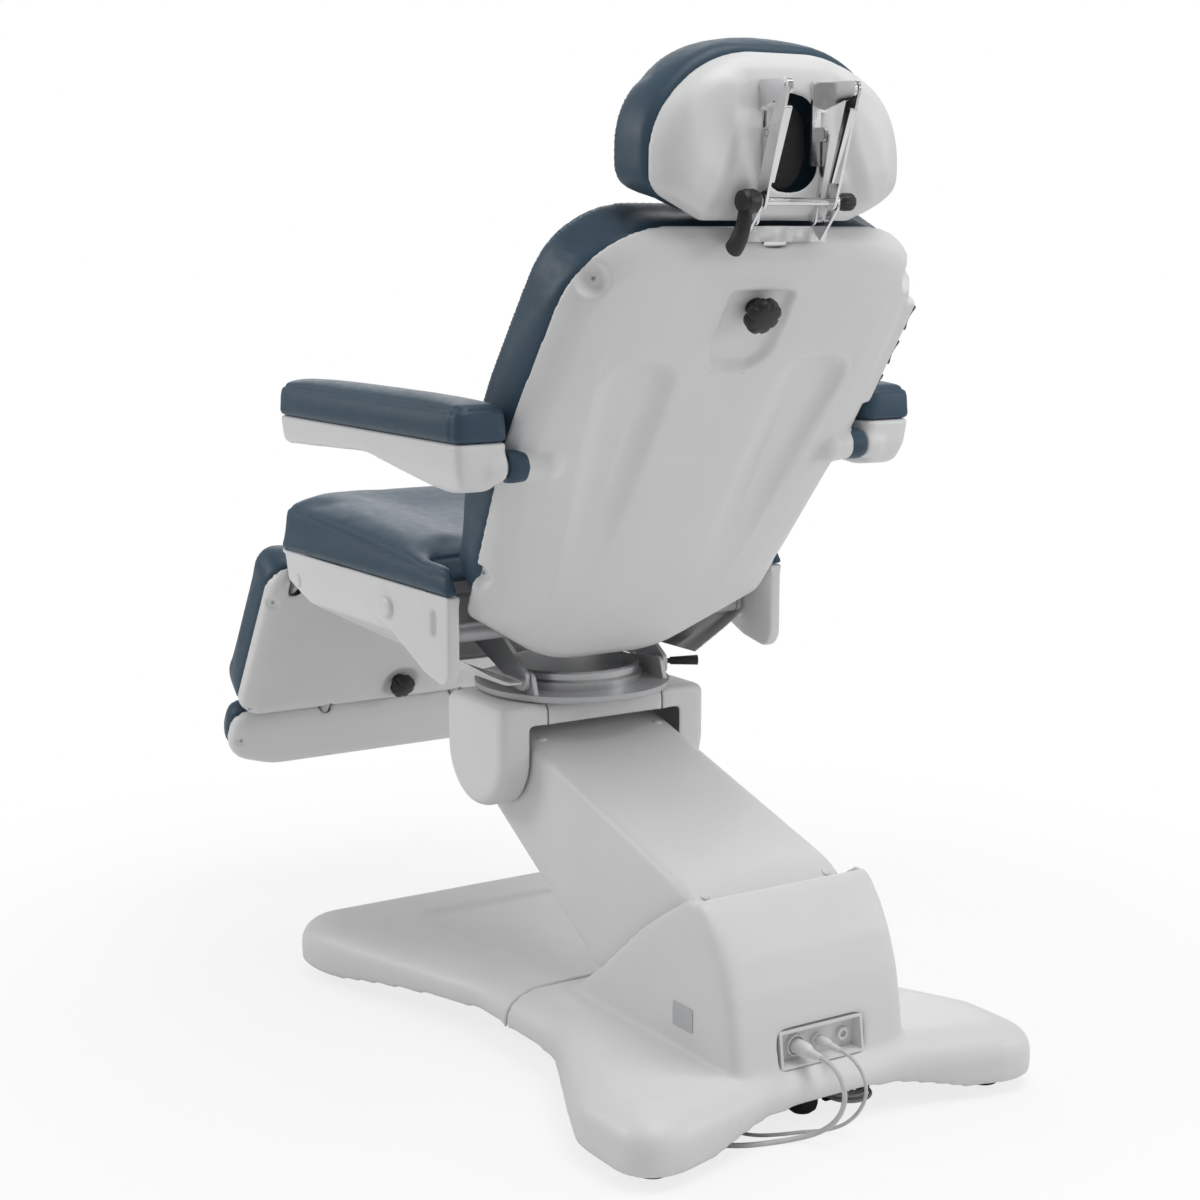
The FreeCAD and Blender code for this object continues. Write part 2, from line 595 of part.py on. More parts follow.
def build_knuckle():
    """Level head on the arm: steel yoke, spindle, and three moulded covers."""
    radius = (KNUCKLE_REAR - KNUCKLE_FRONT) / 2 - 0.2
    bottom = KNUCKLE_TOP - 164.0
    cheek_face = [(KNUCKLE_FRONT, bottom, radius), (KNUCKLE_REAR, bottom, radius),
                  (KNUCKLE_REAR, KNUCKLE_TOP, 14), (KNUCKLE_FRONT, KNUCKLE_TOP, 14)]
    inner_x = ARM_HALF_W + 3.5
    outer_x = KNUCKLE_HALF_W
    cheek = side_stack(cheek_face, [(0, inner_x), (0, outer_x - 14), (4, outer_x - 5), (13, outer_x)])
    w = KNUCKLE_WALL
    cheek = cheek.cut(side_stack(cheek_face, [(w, inner_x - 1), (w, outer_x - 16), (w + 5, outer_x - 8),
                                              (w + 13, outer_x - 5)]))
    front_low = TIP_Z - 20
    cap_face = [(KNUCKLE_FRONT, front_low, 2), (KNUCKLE_FRONT + w, front_low, 1),
                (KNUCKLE_FRONT + w, KNUCKLE_TOP - w, 8),
                (KNUCKLE_REAR - w, KNUCKLE_TOP - w, 8), (KNUCKLE_REAR - w, KNUCKLE_LIP_Z, 1),
                (KNUCKLE_REAR, KNUCKLE_LIP_Z, 2), (KNUCKLE_REAR, KNUCKLE_TOP, 14),
                (KNUCKLE_FRONT, KNUCKLE_TOP, 14)]
    centre = side_slab(cap_face, -KNUCKLE_SEAM_X + GAP, KNUCKLE_SEAM_X - GAP)
    centre = centre.cut(rod_z(0, 0, 80, KNUCKLE_TOP - 12, KNUCKLE_TOP + 3))
    keep("knuckle_centre_cover", centre)
    left = fuse(cheek, side_slab(cap_face, KNUCKLE_SEAM_X, inner_x + 1))
    keep("knuckle_cheek_left", left)
    keep("knuckle_cheek_right", mirror_x(left))

    top_z = KNUCKLE_TOP - KNUCKLE_WALL
    plate = box(-110, 110, -58, 84, top_z - 9, top_z)
    hanger = side_slab([(TIP_Y - 27, TIP_Z - 27, 25), (TIP_Y + 27, TIP_Z - 27, 25),
                        (TIP_Y + 27, TIP_Z + 30, 12),
                        (TIP_Y + 5, TIP_Z + 62, 20), (TIP_Y + 5, top_z - 1, 3),
                        (TIP_Y - 60, top_z - 1, 3),
                        (TIP_Y - 27, TIP_Z + 40, 20)], 92, 100)
    pin = rod_x(TIP_Y, TIP_Z + LINK_RISE, LINK_PIN_R, -100, 100)
    yoke = fuse(plate, *both_sides(hanger), pin)
    keep("knuckle_frame", yoke.cut(rod_x(TIP_Y, TIP_Z, TIP_SHAFT_R + RUN, -120, 120)))
    keep("swivel_spindle", turned([(0, top_z), (74, top_z), (74, TURNTABLE_Z - SEAT_CLEAR),
                                   (SPINDLE_R, TURNTABLE_Z - SEAT_CLEAR),
                                   (SPINDLE_R, DRUM_TOP - 8), (0, DRUM_TOP - 8)], Vector(0, 0, 0),
                                   Vector(0, 0, 1)))


# Swivel and seat

def build_swivel():
    """Turntable with its gussets, the silver bearing drum and the lock lever."""
    top = TURNTABLE_Z + TURNTABLE_T
    bore = SPINDLE_R + RUN
    disc = turned([(bore + 3, TURNTABLE_Z), (TURNTABLE_R - 2, TURNTABLE_Z),
                   (TURNTABLE_R, TURNTABLE_Z + 3),
                   (TURNTABLE_R, top), (bore + 3, top)], Vector(0, 0, 0), Vector(0, 0, 1))
    gusset = side_slab([(-78, top - 1, 0), (88, top - 1, 0),
                        (TILT_Y + TILT_EYE_R, TILT_Z + TILT_EYE_R, 12),
                        (TILT_Y - TILT_EYE_R, TILT_Z + TILT_EYE_R, 12), (-70, top + 14, 0)], GUSSET_X,
                        GUSSET_X + GUSSET_T)
    seat_plate = GUSSET_X + GUSSET_T + 10
    pin = rod_x(TILT_Y, TILT_Z, TILT_PIN_R, GUSSET_X + 1, seat_plate)
    stud = rod_z(LEVER_X, LEVER_Y, LEVER_PIN_R, top - 1, top + 17)
    keep("turntable", fuse(disc, *both_sides(gusset), *both_sides(pin), stud))
    keep("swivel_drum", turned([(bore, top), (DRUM_R + 5, top), (DRUM_R + 5, top + 12),
                                (DRUM_R, top + 16),
                                (DRUM_R, DRUM_TOP - 3), (DRUM_R - 3, DRUM_TOP), (0, DRUM_TOP),
                                (0, DRUM_TOP - 6),
                                (bore, DRUM_TOP - 6)], Vector(0, 0, 0), Vector(0, 0, 1)))
    lever_z = top + 14
    hub = rod_z(LEVER_X, LEVER_Y, 8, top + SEAT_CLEAR, lever_z + 8)
    arm = Part.makeCylinder(4, 34, Vector(LEVER_X, LEVER_Y, lever_z), Vector(-1, 0.45, 0))
    grip = Part.makeCone(6, 8, 44, Vector(LEVER_X - 22, LEVER_Y + 10, lever_z), Vector(-1, 0.45, 0))
    keep("swivel_lever", fuse(hub, arm,
                              grip).cut(rod_z(LEVER_X, LEVER_Y, LEVER_PIN_R + RUN, top, top + 18)))


def seat_outline(grow):
    """Plan of the seat, with two horns beside the foot of the back."""
    half = SEAT_HALF_W + grow
    return mirrored([(half, SEAT_FRONT - grow, 46), (half, HORN_REAR + grow, 11),
                     (HORN_INNER - grow, HORN_REAR + grow, 11),
                     (HORN_INNER - grow, SEAT_BACK_EDGE + grow, 16)])


def build_seat():
    """Side rails, tilt plates, moulded pan, cushion and the back drive."""
    rail = side_slab([(LEG_Y - 14, LEG_Z - 14, 12), (-300, 613, 20), (BACK_Y - 14, BACK_Z - 13, 12),
                      (BACK_Y + 14, BACK_Z - 13, 12),
                      (BACK_Y + 14, BACK_Z + 22, 12), (-280, 658, 20), (LEG_Y - 14, LEG_Z + 14, 12)],
                      RAIL_X, RAIL_X + RAIL_T)
    plate_x = GUSSET_X + GUSSET_T + 1.5
    eye = TILT_EYE_R
    tilt_plate = side_slab([(-210, 606, 0), (TILT_Y - 12, TILT_Z - eye, 12),
                            (TILT_Y + eye, TILT_Z - eye, 12),
                            (TILT_Y + eye, TILT_Z + eye - 1, 12), (-90, 640, 20), (-210, 640, 0)],
                            plate_x, plate_x + 7)
    beams = [box(-RAIL_X - 1, RAIL_X + 1, -190, -150, 612, 636),
             box(-RAIL_X - 1, RAIL_X + 1, -390, -350, 622, 644)]
    board = slab([(-RAIL_X, -420, 30), (RAIL_X, -420, 30), (RAIL_X, -20, 20), (-RAIL_X, -20, 20)], 643,
                 SEAT_BASE_Z)
    pins = []
    for y, z in ((BACK_Y, BACK_Z), (LEG_Y, LEG_Z)):
        pins.append(rod_x(y, z, HINGE_PIN_R, RAIL_X - 18, RAIL_X + RAIL_T))
    frame = fuse(*both_sides(rail), *both_sides(tilt_plate), *beams, board, *pins,
                 *[mirror_x(p) for p in pins])
    keep("seat_frame", frame.cut(rod_x(TILT_Y, TILT_Z, TILT_PIN_R + RUN, -150, 150)))

    def pan(inset, rear):
        levels = [(SEAT_BASE_Z, SEAT_HALF_W - 3, SEAT_FRONT + 3),
                  (622, SEAT_HALF_W - 6, SEAT_FRONT + 18),
                  (592, SEAT_HALF_W - 14, SEAT_FRONT + 80), (562, 240, SEAT_FRONT + 176),
                  (534, 192, SEAT_FRONT + 256),
                  (514, 160, SEAT_FRONT + 300)]
        wires = []
        for height, half, front in levels:
            lift = inset if height == 514 else 0
            top = 1 if inset and height == SEAT_BASE_Z else 0
            wires.append(outline([(-half + inset, front + inset, 40), (half - inset, front + inset, 40),
                                  (half - inset, rear, 10), (-half + inset, rear, 10)], 0,
                                  height + lift + top))
        return Part.makeLoft(wires, True, True)

    shell = pan(0.0, 78.0).cut(pan(WALL, 140.0))
    horn = side_slab([(-190, 632, 0), (-40, 596, 60), (70, 548, 40), (HORN_REAR - 18, 536, 20),
                      (HORN_REAR - 6, 560, 16),
                      (HORN_REAR - 6, SEAT_BASE_Z - 1, 4), (-190, SEAT_BASE_Z - 1, 0)], HORN_INNER,
                      SEAT_HALF_W - 5)
    window = box(-SEAT_HALF_W - 5, SEAT_HALF_W + 5, LEG_Y - 40, LEG_Y + 34, LEG_Z - 60, LEG_Z + 24)
    cap = rod_x(-55, 634, 22, SEAT_HALF_W - 9, SEAT_HALF_W - 2)
    slot = box(SEAT_HALF_W - 14, SEAT_HALF_W, 92, 106, 606, 646)
    shell = fuse(shell, *both_sides(horn), *both_sides(cap))
    well = box(-plate_x - 10, plate_x + 10, -DRUM_R - 22, 140, 500, 560)
    lever_way = box(-260, -plate_x - 5, -30, 140, 490, TURNTABLE_Z + 42)
    for opening in both_sides(slot) + [window, well, lever_way]:
        shell = shell.cut(opening)
    keep("seat_shell", shell)

    bottom = SEAT_BASE_Z
    cushion = stack(seat_outline(0.0), [(4, bottom), (0, bottom + 10), (0, bottom + SEAT_PAD - 22),
                                        (3, bottom + SEAT_PAD - 8),
                                        (8, bottom + SEAT_PAD)])
    crown = stack([(-SEAT_HALF_W + 16, SEAT_FRONT + 16, 40), (SEAT_HALF_W - 16, SEAT_FRONT + 16, 40),
                   (SEAT_HALF_W - 16, SEAT_BACK_EDGE - 16, 40),
                   (-SEAT_HALF_W + 16, SEAT_BACK_EDGE - 16, 40)],
                  [(0, bottom + SEAT_PAD - 2), (22, bottom + SEAT_PAD + 6),
                   (80, bottom + SEAT_PAD + 12)])
    slope = Placement(Vector(0, 0, 0), Rotation(Vector(1, 0, 0), -4.0),
                      Vector(0, SEAT_FRONT, bottom + SEAT_PAD + 13))
    trim = place(box(-400, 400, SEAT_FRONT - 60, HORN_REAR + 60, bottom + SEAT_PAD + 13,
                     bottom + SEAT_PAD + 130), slope)
    keep("seat_cushion", fuse(cushion, crown).cut(trim))
    motor = [box(-208, -150, -44, 26, 560, 606), rod_y(-180, 584, 18, -150, -43),
             box(-200, -160, -190, -149, 566, 612)]
    keep("back_motor", fuse(*motor))


# Back, with its knob, switches and post guide

BACK = lean_frame(BACK_Y, BACK_Z, BACK_LEAN)


def back_corners(grow, low_corner, bottom, top=BACK_TOP):
    """Back outline: widest at the armrests; the shell adds a rounded tail below."""
    half = [(BACK_HALF_LOW + grow, low_corner, 30), (BACK_HALF_MID + grow, BACK_BULGE_V, 700),
            (BACK_HALF_HIGH + grow, top, 128)]
    if bottom is not None:
        half.insert(0, (95, bottom, 150))
    return mirrored(half)


def build_back():
    """Hinge tube and board, moulded shell with post collar and knob pocket, cushion, knob and rockers."""
    shell_face = back_corners(0.0, BACK_CORNER, BACK_BOTTOM)
    deep = BACK_RIM - 44
    shell = stack(shell_face, [(0, BACK_RIM), (0, BACK_RIM - 5), (10, BACK_RIM - 23),
                               (30, BACK_RIM - 35), (66, BACK_RIM - 41), (116, deep)])
    hollow = stack(shell_face, [(WALL, BACK_RIM + 1), (WALL, BACK_RIM - 4), (10 + WALL, BACK_RIM - 19),
                                (30 + WALL, BACK_RIM - 30),
                                (66 + WALL, BACK_RIM - 36), (116 + WALL, deep + WALL)])
    shell = shell.cut(hollow)
    collar = slab([(-32, BACK_TOP - 70, 6), (32, BACK_TOP - 70, 6), (26, BACK_TOP - 14, 6),
                   (-26, BACK_TOP - 14, 6)], POST_Z - 12, BACK_RIM - 9)
    pocket_face = mirrored([(POCKET_HALF, KNOB_V - 100, 44), (POCKET_HALF, KNOB_V + 34, 12)])
    pad = stack(pocket_face, [(-WALL, deep + 1), (-WALL, BACK_RIM - 29)])
    pocket = stack(pocket_face, [(0, deep - 1), (10, BACK_RIM - 33)])
    leaf = [(84, 120, 24), (150, 120, 24), (212, 545, 44), (88, 545, 44)]
    leaf_wall = stack(leaf, [(-WALL, deep + 1), (-WALL, deep + SCOOP_DEPTH + WALL)])
    leaf_cut = stack(leaf, [(0, deep - 1), (9, deep + 0.6 * SCOOP_DEPTH), (24, deep + SCOOP_DEPTH)])
    notch_v, notch_z = armrest_local()
    lobe = Part.makeCone(26, 20, 58, Vector(BACK_HALF_MID - 62, notch_v, notch_z),
                         Vector(1, 0, 0)).cut(hollow)
    shell = fuse(shell, collar, pad, *both_sides(leaf_wall), *both_sides(lobe)).cut(pocket)
    for scoop in both_sides(leaf_cut):
        shell = shell.cut(scoop)
    clear = GAP
    post_hole = box(-POST_W / 2 - clear, POST_W / 2 + clear, POST_FOOT - 60, BACK_TOP + 40,
                    POST_Z - POST_T / 2 - clear, POST_Z + POST_T / 2 + clear)
    shell = shell.cut(post_hole).cut(rod_z(0, KNOB_V, 9, deep - 9, BACK_RIM - 20))
    for notch in both_sides(rod_x(notch_v, notch_z, ARM_REST_PIN_R + 3, BACK_HALF_MID - 70,
                                  BACK_HALF_MID + 30)):
        shell = shell.cut(notch)
    pod = slab([(-13, ROCKER_V[0] - 30, 8), (13, ROCKER_V[0] - 30, 8), (13, ROCKER_V[2] + 30, 8),
                (-13, ROCKER_V[2] + 30, 8)], 0, 20)
    pod = place(pod, Placement(Vector(-POD_X + 20, 0, BACK_RIM - 16), Rotation(Vector(0, 1, 0), -90)))
    rocker_cuts = [box(-POD_X - 12, -POD_X + 9, v - 22, v + 22, BACK_RIM - 26,
                       BACK_RIM - 6) for v in ROCKER_V]
    shell = shell.fuse(pod)
    for cut in rocker_cuts:
        shell = shell.cut(cut)
    keep("back_shell", place(shell.removeSplitter(), BACK))

    board = slab(back_corners(-24.0, BACK_CORNER + 30, None, BACK_TOP - 24), BACK_RIM - 8, BACK_RIM)
    tube = rod_x(0, 0, HINGE_TUBE_R, -RAIL_X + 1.5, RAIL_X - 1.5)
    straps = [box(x - 18, x + 18, -4, BACK_CORNER + 60, BACK_RIM - 7, BACK_RIM) for x in (-98, 0, 98)]
    lugs = [box(x - 18, x + 18, -4, 20, BACK_RIM - 1, 0) for x in (-98, 0, 98)]
    guide = box(-POST_W / 2 - 4, POST_W / 2 + 4, POST_FOOT - 90, BACK_TOP - 76, POST_Z - POST_T / 2 - 4,
                BACK_RIM - 7)
    stubs = []
    for side in (1, -1):
        inner, outer = BACK_HALF_MID - 60, ARM_REST_INNER + 14
        stubs.append(rod_x(notch_v, notch_z, ARM_REST_PIN_R, min(side * inner, side * outer),
                           max(side * inner, side * outer)))
        stubs.append(box(min(side * (inner - 8), side * (inner + 2)),
                         max(side * (inner - 8), side * (inner + 2)),
                         notch_v - 16, notch_v + 16, notch_z + 3, BACK_RIM - 2))
    frame = fuse(board, tube, *straps, *lugs, guide, *stubs).cut(post_hole)
    for side in (1, -1):
        bore = sorted((side * (RAIL_X - 20), side * RAIL_X))
        frame = frame.cut(rod_x(0, 0, HINGE_PIN_R + RUN, *bore))
    frame = frame.cut(rod_z(0, KNOB_V, 8.0 + RUN, POST_Z - 30, POST_Z - POST_T / 2))
    keep("back_frame", place(frame, BACK))

    pad_face = back_corners(4.0, BACK_PAD_BOTTOM, None, BACK_PAD_TOP)
    low = BACK_RIM + SEAT_CLEAR
    cushion = stack(pad_face, [(7, low), (0, low + 12), (0, low + BACK_PAD - 26),
                               (4, low + BACK_PAD - 12), (14, low + BACK_PAD - 4),
                               (40, low + BACK_PAD), (108, low + BACK_PAD + 6)])
    keep("back_cushion", place(cushion, BACK))

    knob = star_knob(Vector(0, KNOB_V, POST_Z - POST_T / 2 - 0.2), Vector(0, 0, -1), KNOB_R, 30.0)
    keep("back_knob", place(knob, BACK))
    for number, v in enumerate(ROCKER_V, 1):
        z = BACK_RIM - 16
        rocker = place(slab([(-9, v - 20, 0), (9, v - 20, 0), (9, v + 20, 0), (-9, v + 20, 0)], 0, 11),
                       Placement(Vector(-POD_X + 6, 0, z), Rotation(Vector(0, 1, 0), -90)))
        groove = rod_z(-POD_X - 44, v, 42, z - 20, z + 20)
        keep("rocker_switch_%d" % number, place(rocker.cut(groove), BACK))


def armrest_local():
    """The armrest pin in the frame of the back: height along it and depth behind the hinge."""
    lean = math.radians(BACK_LEAN)
    dy, dz = ARM_REST_Y - BACK_Y, ARM_REST_Z - BACK_Z
    return dy * math.sin(lean) + dz * math.cos(lean), -dy * math.cos(lean) + dz * math.sin(lean)


def build_armrests():
    """Padded armrests on moulded carriers that swing up beside the back."""
    x0, x1 = ARM_REST_INNER, ARM_REST_INNER + ARM_REST_W
    plan = [(x0, ARM_REST_FRONT, 26), (x1, ARM_REST_FRONT, 34), (x1, ARM_REST_REAR, 16),
            (x0, ARM_REST_REAR, 16)]
    top = ARM_REST_SPLIT + ARM_REST_PAD
    low = ARM_REST_SPLIT + SEAT_CLEAR
    pad = stack(plan, [(4, low), (0, low + 8), (0, top - 14), (4, top - 5), (12, top), (34, top + 3)])
    shell = stack(plan, [(30, ARM_REST_SPLIT - 74), (16, ARM_REST_SPLIT - 60), (6, ARM_REST_SPLIT - 36),
                         (2, ARM_REST_SPLIT)])
    keel = side_slab([(ARM_REST_FRONT - 20, ARM_REST_SPLIT - 20, 10),
                      (ARM_REST_FRONT + 30, ARM_REST_SPLIT - 42, 40),
                      (60, ARM_REST_SPLIT - 32, 260), (ARM_REST_REAR - 70, ARM_REST_SPLIT - 71, 90),
                      (ARM_REST_REAR + 40, ARM_REST_SPLIT - 58, 20),
                      (ARM_REST_REAR + 40, ARM_REST_SPLIT + 9, 2),
                      (ARM_REST_FRONT - 20, ARM_REST_SPLIT + 9, 2)],
                     x0 - 9, x1 + 9)
    shell = shell.common(keel)
    boss = rod_x(ARM_REST_Y, ARM_REST_Z, ARM_REST_PIN_R + 9, x0, x0 + 30)
    shell = fuse(shell, boss).cut(rod_x(ARM_REST_Y, ARM_REST_Z, ARM_REST_PIN_R + RUN, x0 - 9, x0 + 16))
    keep("armrest_left_pad", pad)
    keep("armrest_left_shell", shell)
    keep("armrest_right_pad", mirror_x(pad))
    keep("armrest_right_shell", mirror_x(shell))


# Leg rest and foot section

LEG = lean_frame(LEG_Y, LEG_Z, LEG_LEAN)


def panel_corners(low, high, radius):
    """A full-width panel outline between two heights."""
    return mirrored([(LEG_HALF_W, low, radius), (LEG_HALF_W, high, radius)])


def tray(corners, rear, rim, wall):
    """A shallow moulded tray, open to the front, with a rounded back."""
    outer = stack(corners, [(26, rear), (9, rear + 4), (0, rear + 13), (0, rim)])
    return outer.cut(stack(corners, [(26 + wall, rear + wall), (9 + wall, rear + wall + 4),
                                     (wall, rear + wall + 12), (wall, rim + 1)]))


def pillow(corners, low, thick, crown):
    """A padded panel: pulled in at its base, rounded at its edges and crowned in the middle."""
    return stack(corners, [(5, low), (0, low + 9), (0, low + thick - 22), (5, low + thick - 9),
                           (14, low + thick),
                           (36, low + thick + crown)])


def build_leg():
    """Leg section on the seat hinge, and the foot section that slides out of it."""
    leg_face = panel_corners(LEG_BOTTOM, LEG_TOP, 44)
    shell = tray(leg_face, LEG_REAR, LEG_RIM, WALL)
    knob_v = LEG_BOTTOM + 48
    dish = turned([(0, -1), (34, -1), (26, 9), (0, 9)], Vector(0, knob_v, LEG_REAR), Vector(0, 0, 1))
    boss = rod_z(0, knob_v, 38, LEG_REAR + 1, LEG_REAR + 13)
    ear_slot = []
    for side in (1, -1):
        across = sorted((side * (RAIL_X - 14), side * (RAIL_X + 4)))
        ear_slot.append(box(across[0], across[1], LEG_TOP - 40, LEG_TOP + 9, LEG_REAR - 2, LEG_RIM + 2))
    shell = fuse(shell, boss).cut(dish).cut(rod_z(0, knob_v, 9, LEG_REAR - 9, LEG_RIM))
    rod_z0 = LEG_RIM - FOOT_ROD_R - 3
    for x in (FOOT_ROD_X, -FOOT_ROD_X):
        shell = shell.cut(rod_y(x, rod_z0, FOOT_ROD_R + 2, LEG_BOTTOM - 9, LEG_BOTTOM + 30))
        shell = shell.cut(box(x - FOOT_ROD_R - 3, x + FOOT_ROD_R + 3, LEG_BOTTOM - 9, LEG_BOTTOM + 30,
                              rod_z0, LEG_RIM + 2))
    for slot in ear_slot:
        shell = shell.cut(slot)
    keep("leg_shell", place(shell, LEG))

    board = slab(inset_face(leg_face, WALL + 4), LEG_RIM - 2, LEG_RIM)
    ears = []
    for side in (1, -1):
        ear = side_slab([(LEG_TOP - 60, LEG_RIM - 14, 2), (LEG_TOP - 20, -13, 8), (13, -13, 12),
                         (13, 13, 12), (LEG_TOP - 30, LEG_RIM - 1, 2),
                         (LEG_TOP - 60, LEG_RIM - 1, 2)], RAIL_X - 9.5, RAIL_X - 1.5)
        ears.append(ear if side > 0 else mirror_x(ear))
    guides = []
    for x in (FOOT_ROD_X, -FOOT_ROD_X):
        guides.append(rod_y(x, rod_z0, FOOT_ROD_R + 3, LEG_BOTTOM + 34, LEG_BOTTOM + 150))
    nut = rod_z(0, knob_v, 13, LEG_REAR + 14, LEG_RIM - 1)
    frame = fuse(board, *ears, *guides, nut)
    for x in (FOOT_ROD_X, -FOOT_ROD_X):
        frame = frame.cut(rod_y(x, rod_z0, FOOT_ROD_R + RUN, LEG_BOTTOM - 20, LEG_BOTTOM + 290))
    for side in (1, -1):
        bore = sorted((side * (RAIL_X - 20), side * RAIL_X))
        frame = frame.cut(rod_x(0, 0, HINGE_PIN_R + RUN, *bore))
    keep("leg_frame", place(frame.cut(rod_z(0, knob_v, 8.0 + RUN, LEG_REAR, LEG_RIM - 4)), LEG))
    keep("leg_cushion", place(pillow(leg_face, LEG_RIM + SEAT_CLEAR, LEG_PAD - 8, 8), LEG))
    knob = star_knob(Vector(0, knob_v, LEG_REAR + 20), Vector(0, 0, -1), KNOB_R * 0.9, 19.0)
    keep("leg_knob", place(knob, LEG))

    foot_top = LEG_BOTTOM - FOOT_GAP
    foot_face = mirrored([(LEG_HALF_W - 90, foot_top - FOOT_LENGTH, 110),
                          (LEG_HALF_W, foot_top - FOOT_LENGTH + 34, 60), (LEG_HALF_W, foot_top, 30)])
    shell = tray(foot_face, LEG_REAR + 1, LEG_RIM, WALL)
    for x in (FOOT_ROD_X, -FOOT_ROD_X):
        shell = shell.cut(rod_y(x, rod_z0, FOOT_ROD_R + 1, foot_top - 30, foot_top + 9))
    keep("foot_shell", place(shell, LEG))
    foot_board = slab(inset_face(foot_face, 12), LEG_RIM - 2, LEG_RIM)
    rods = [rod_y(x, rod_z0, FOOT_ROD_R, foot_top - 80, LEG_BOTTOM + 270) for x in (FOOT_ROD_X,
                                                                                    -FOOT_ROD_X)]
    blocks = [box(x - 10, x + 10, foot_top - 78, foot_top - 40, rod_z0,
                  LEG_RIM - 1) for x in (FOOT_ROD_X, -FOOT_ROD_X)]
    keep("foot_frame", place(fuse(foot_board, *rods, *blocks), LEG))
    keep("foot_cushion", place(pillow(foot_face, LEG_RIM + SEAT_CLEAR, FOOT_PAD - 6, 6), LEG))


def inset_face(corners, inset):
    """Corners of the same outline, moved inwards."""
    moved = inset_polygon([(c[0], c[1]) for c in corners], inset)
    return [(m[0], m[1], max(c[2] - inset, 2)) for m, c in zip(moved, corners)]


# Headrest on its double-link bracket

def head_corners(grow):
    """Half-moon headrest outline (x, height above its lower edge)."""
    half, top = HEAD_HALF_W + grow / 2, HEAD_HEIGHT + grow
    return mirrored([(120, 0, 24), (half, 38, 34), (half, top - 92, 114), (110, top, 166)])


HEAD = Placement(Vector(0, HEAD_RIM_Y, HEAD_BOTTOM), Rotation(Vector(1, 0, 0), 90))
HOLE_X, HOLE_Z = 42.0, 60.0
HOLE_AT = 97.0


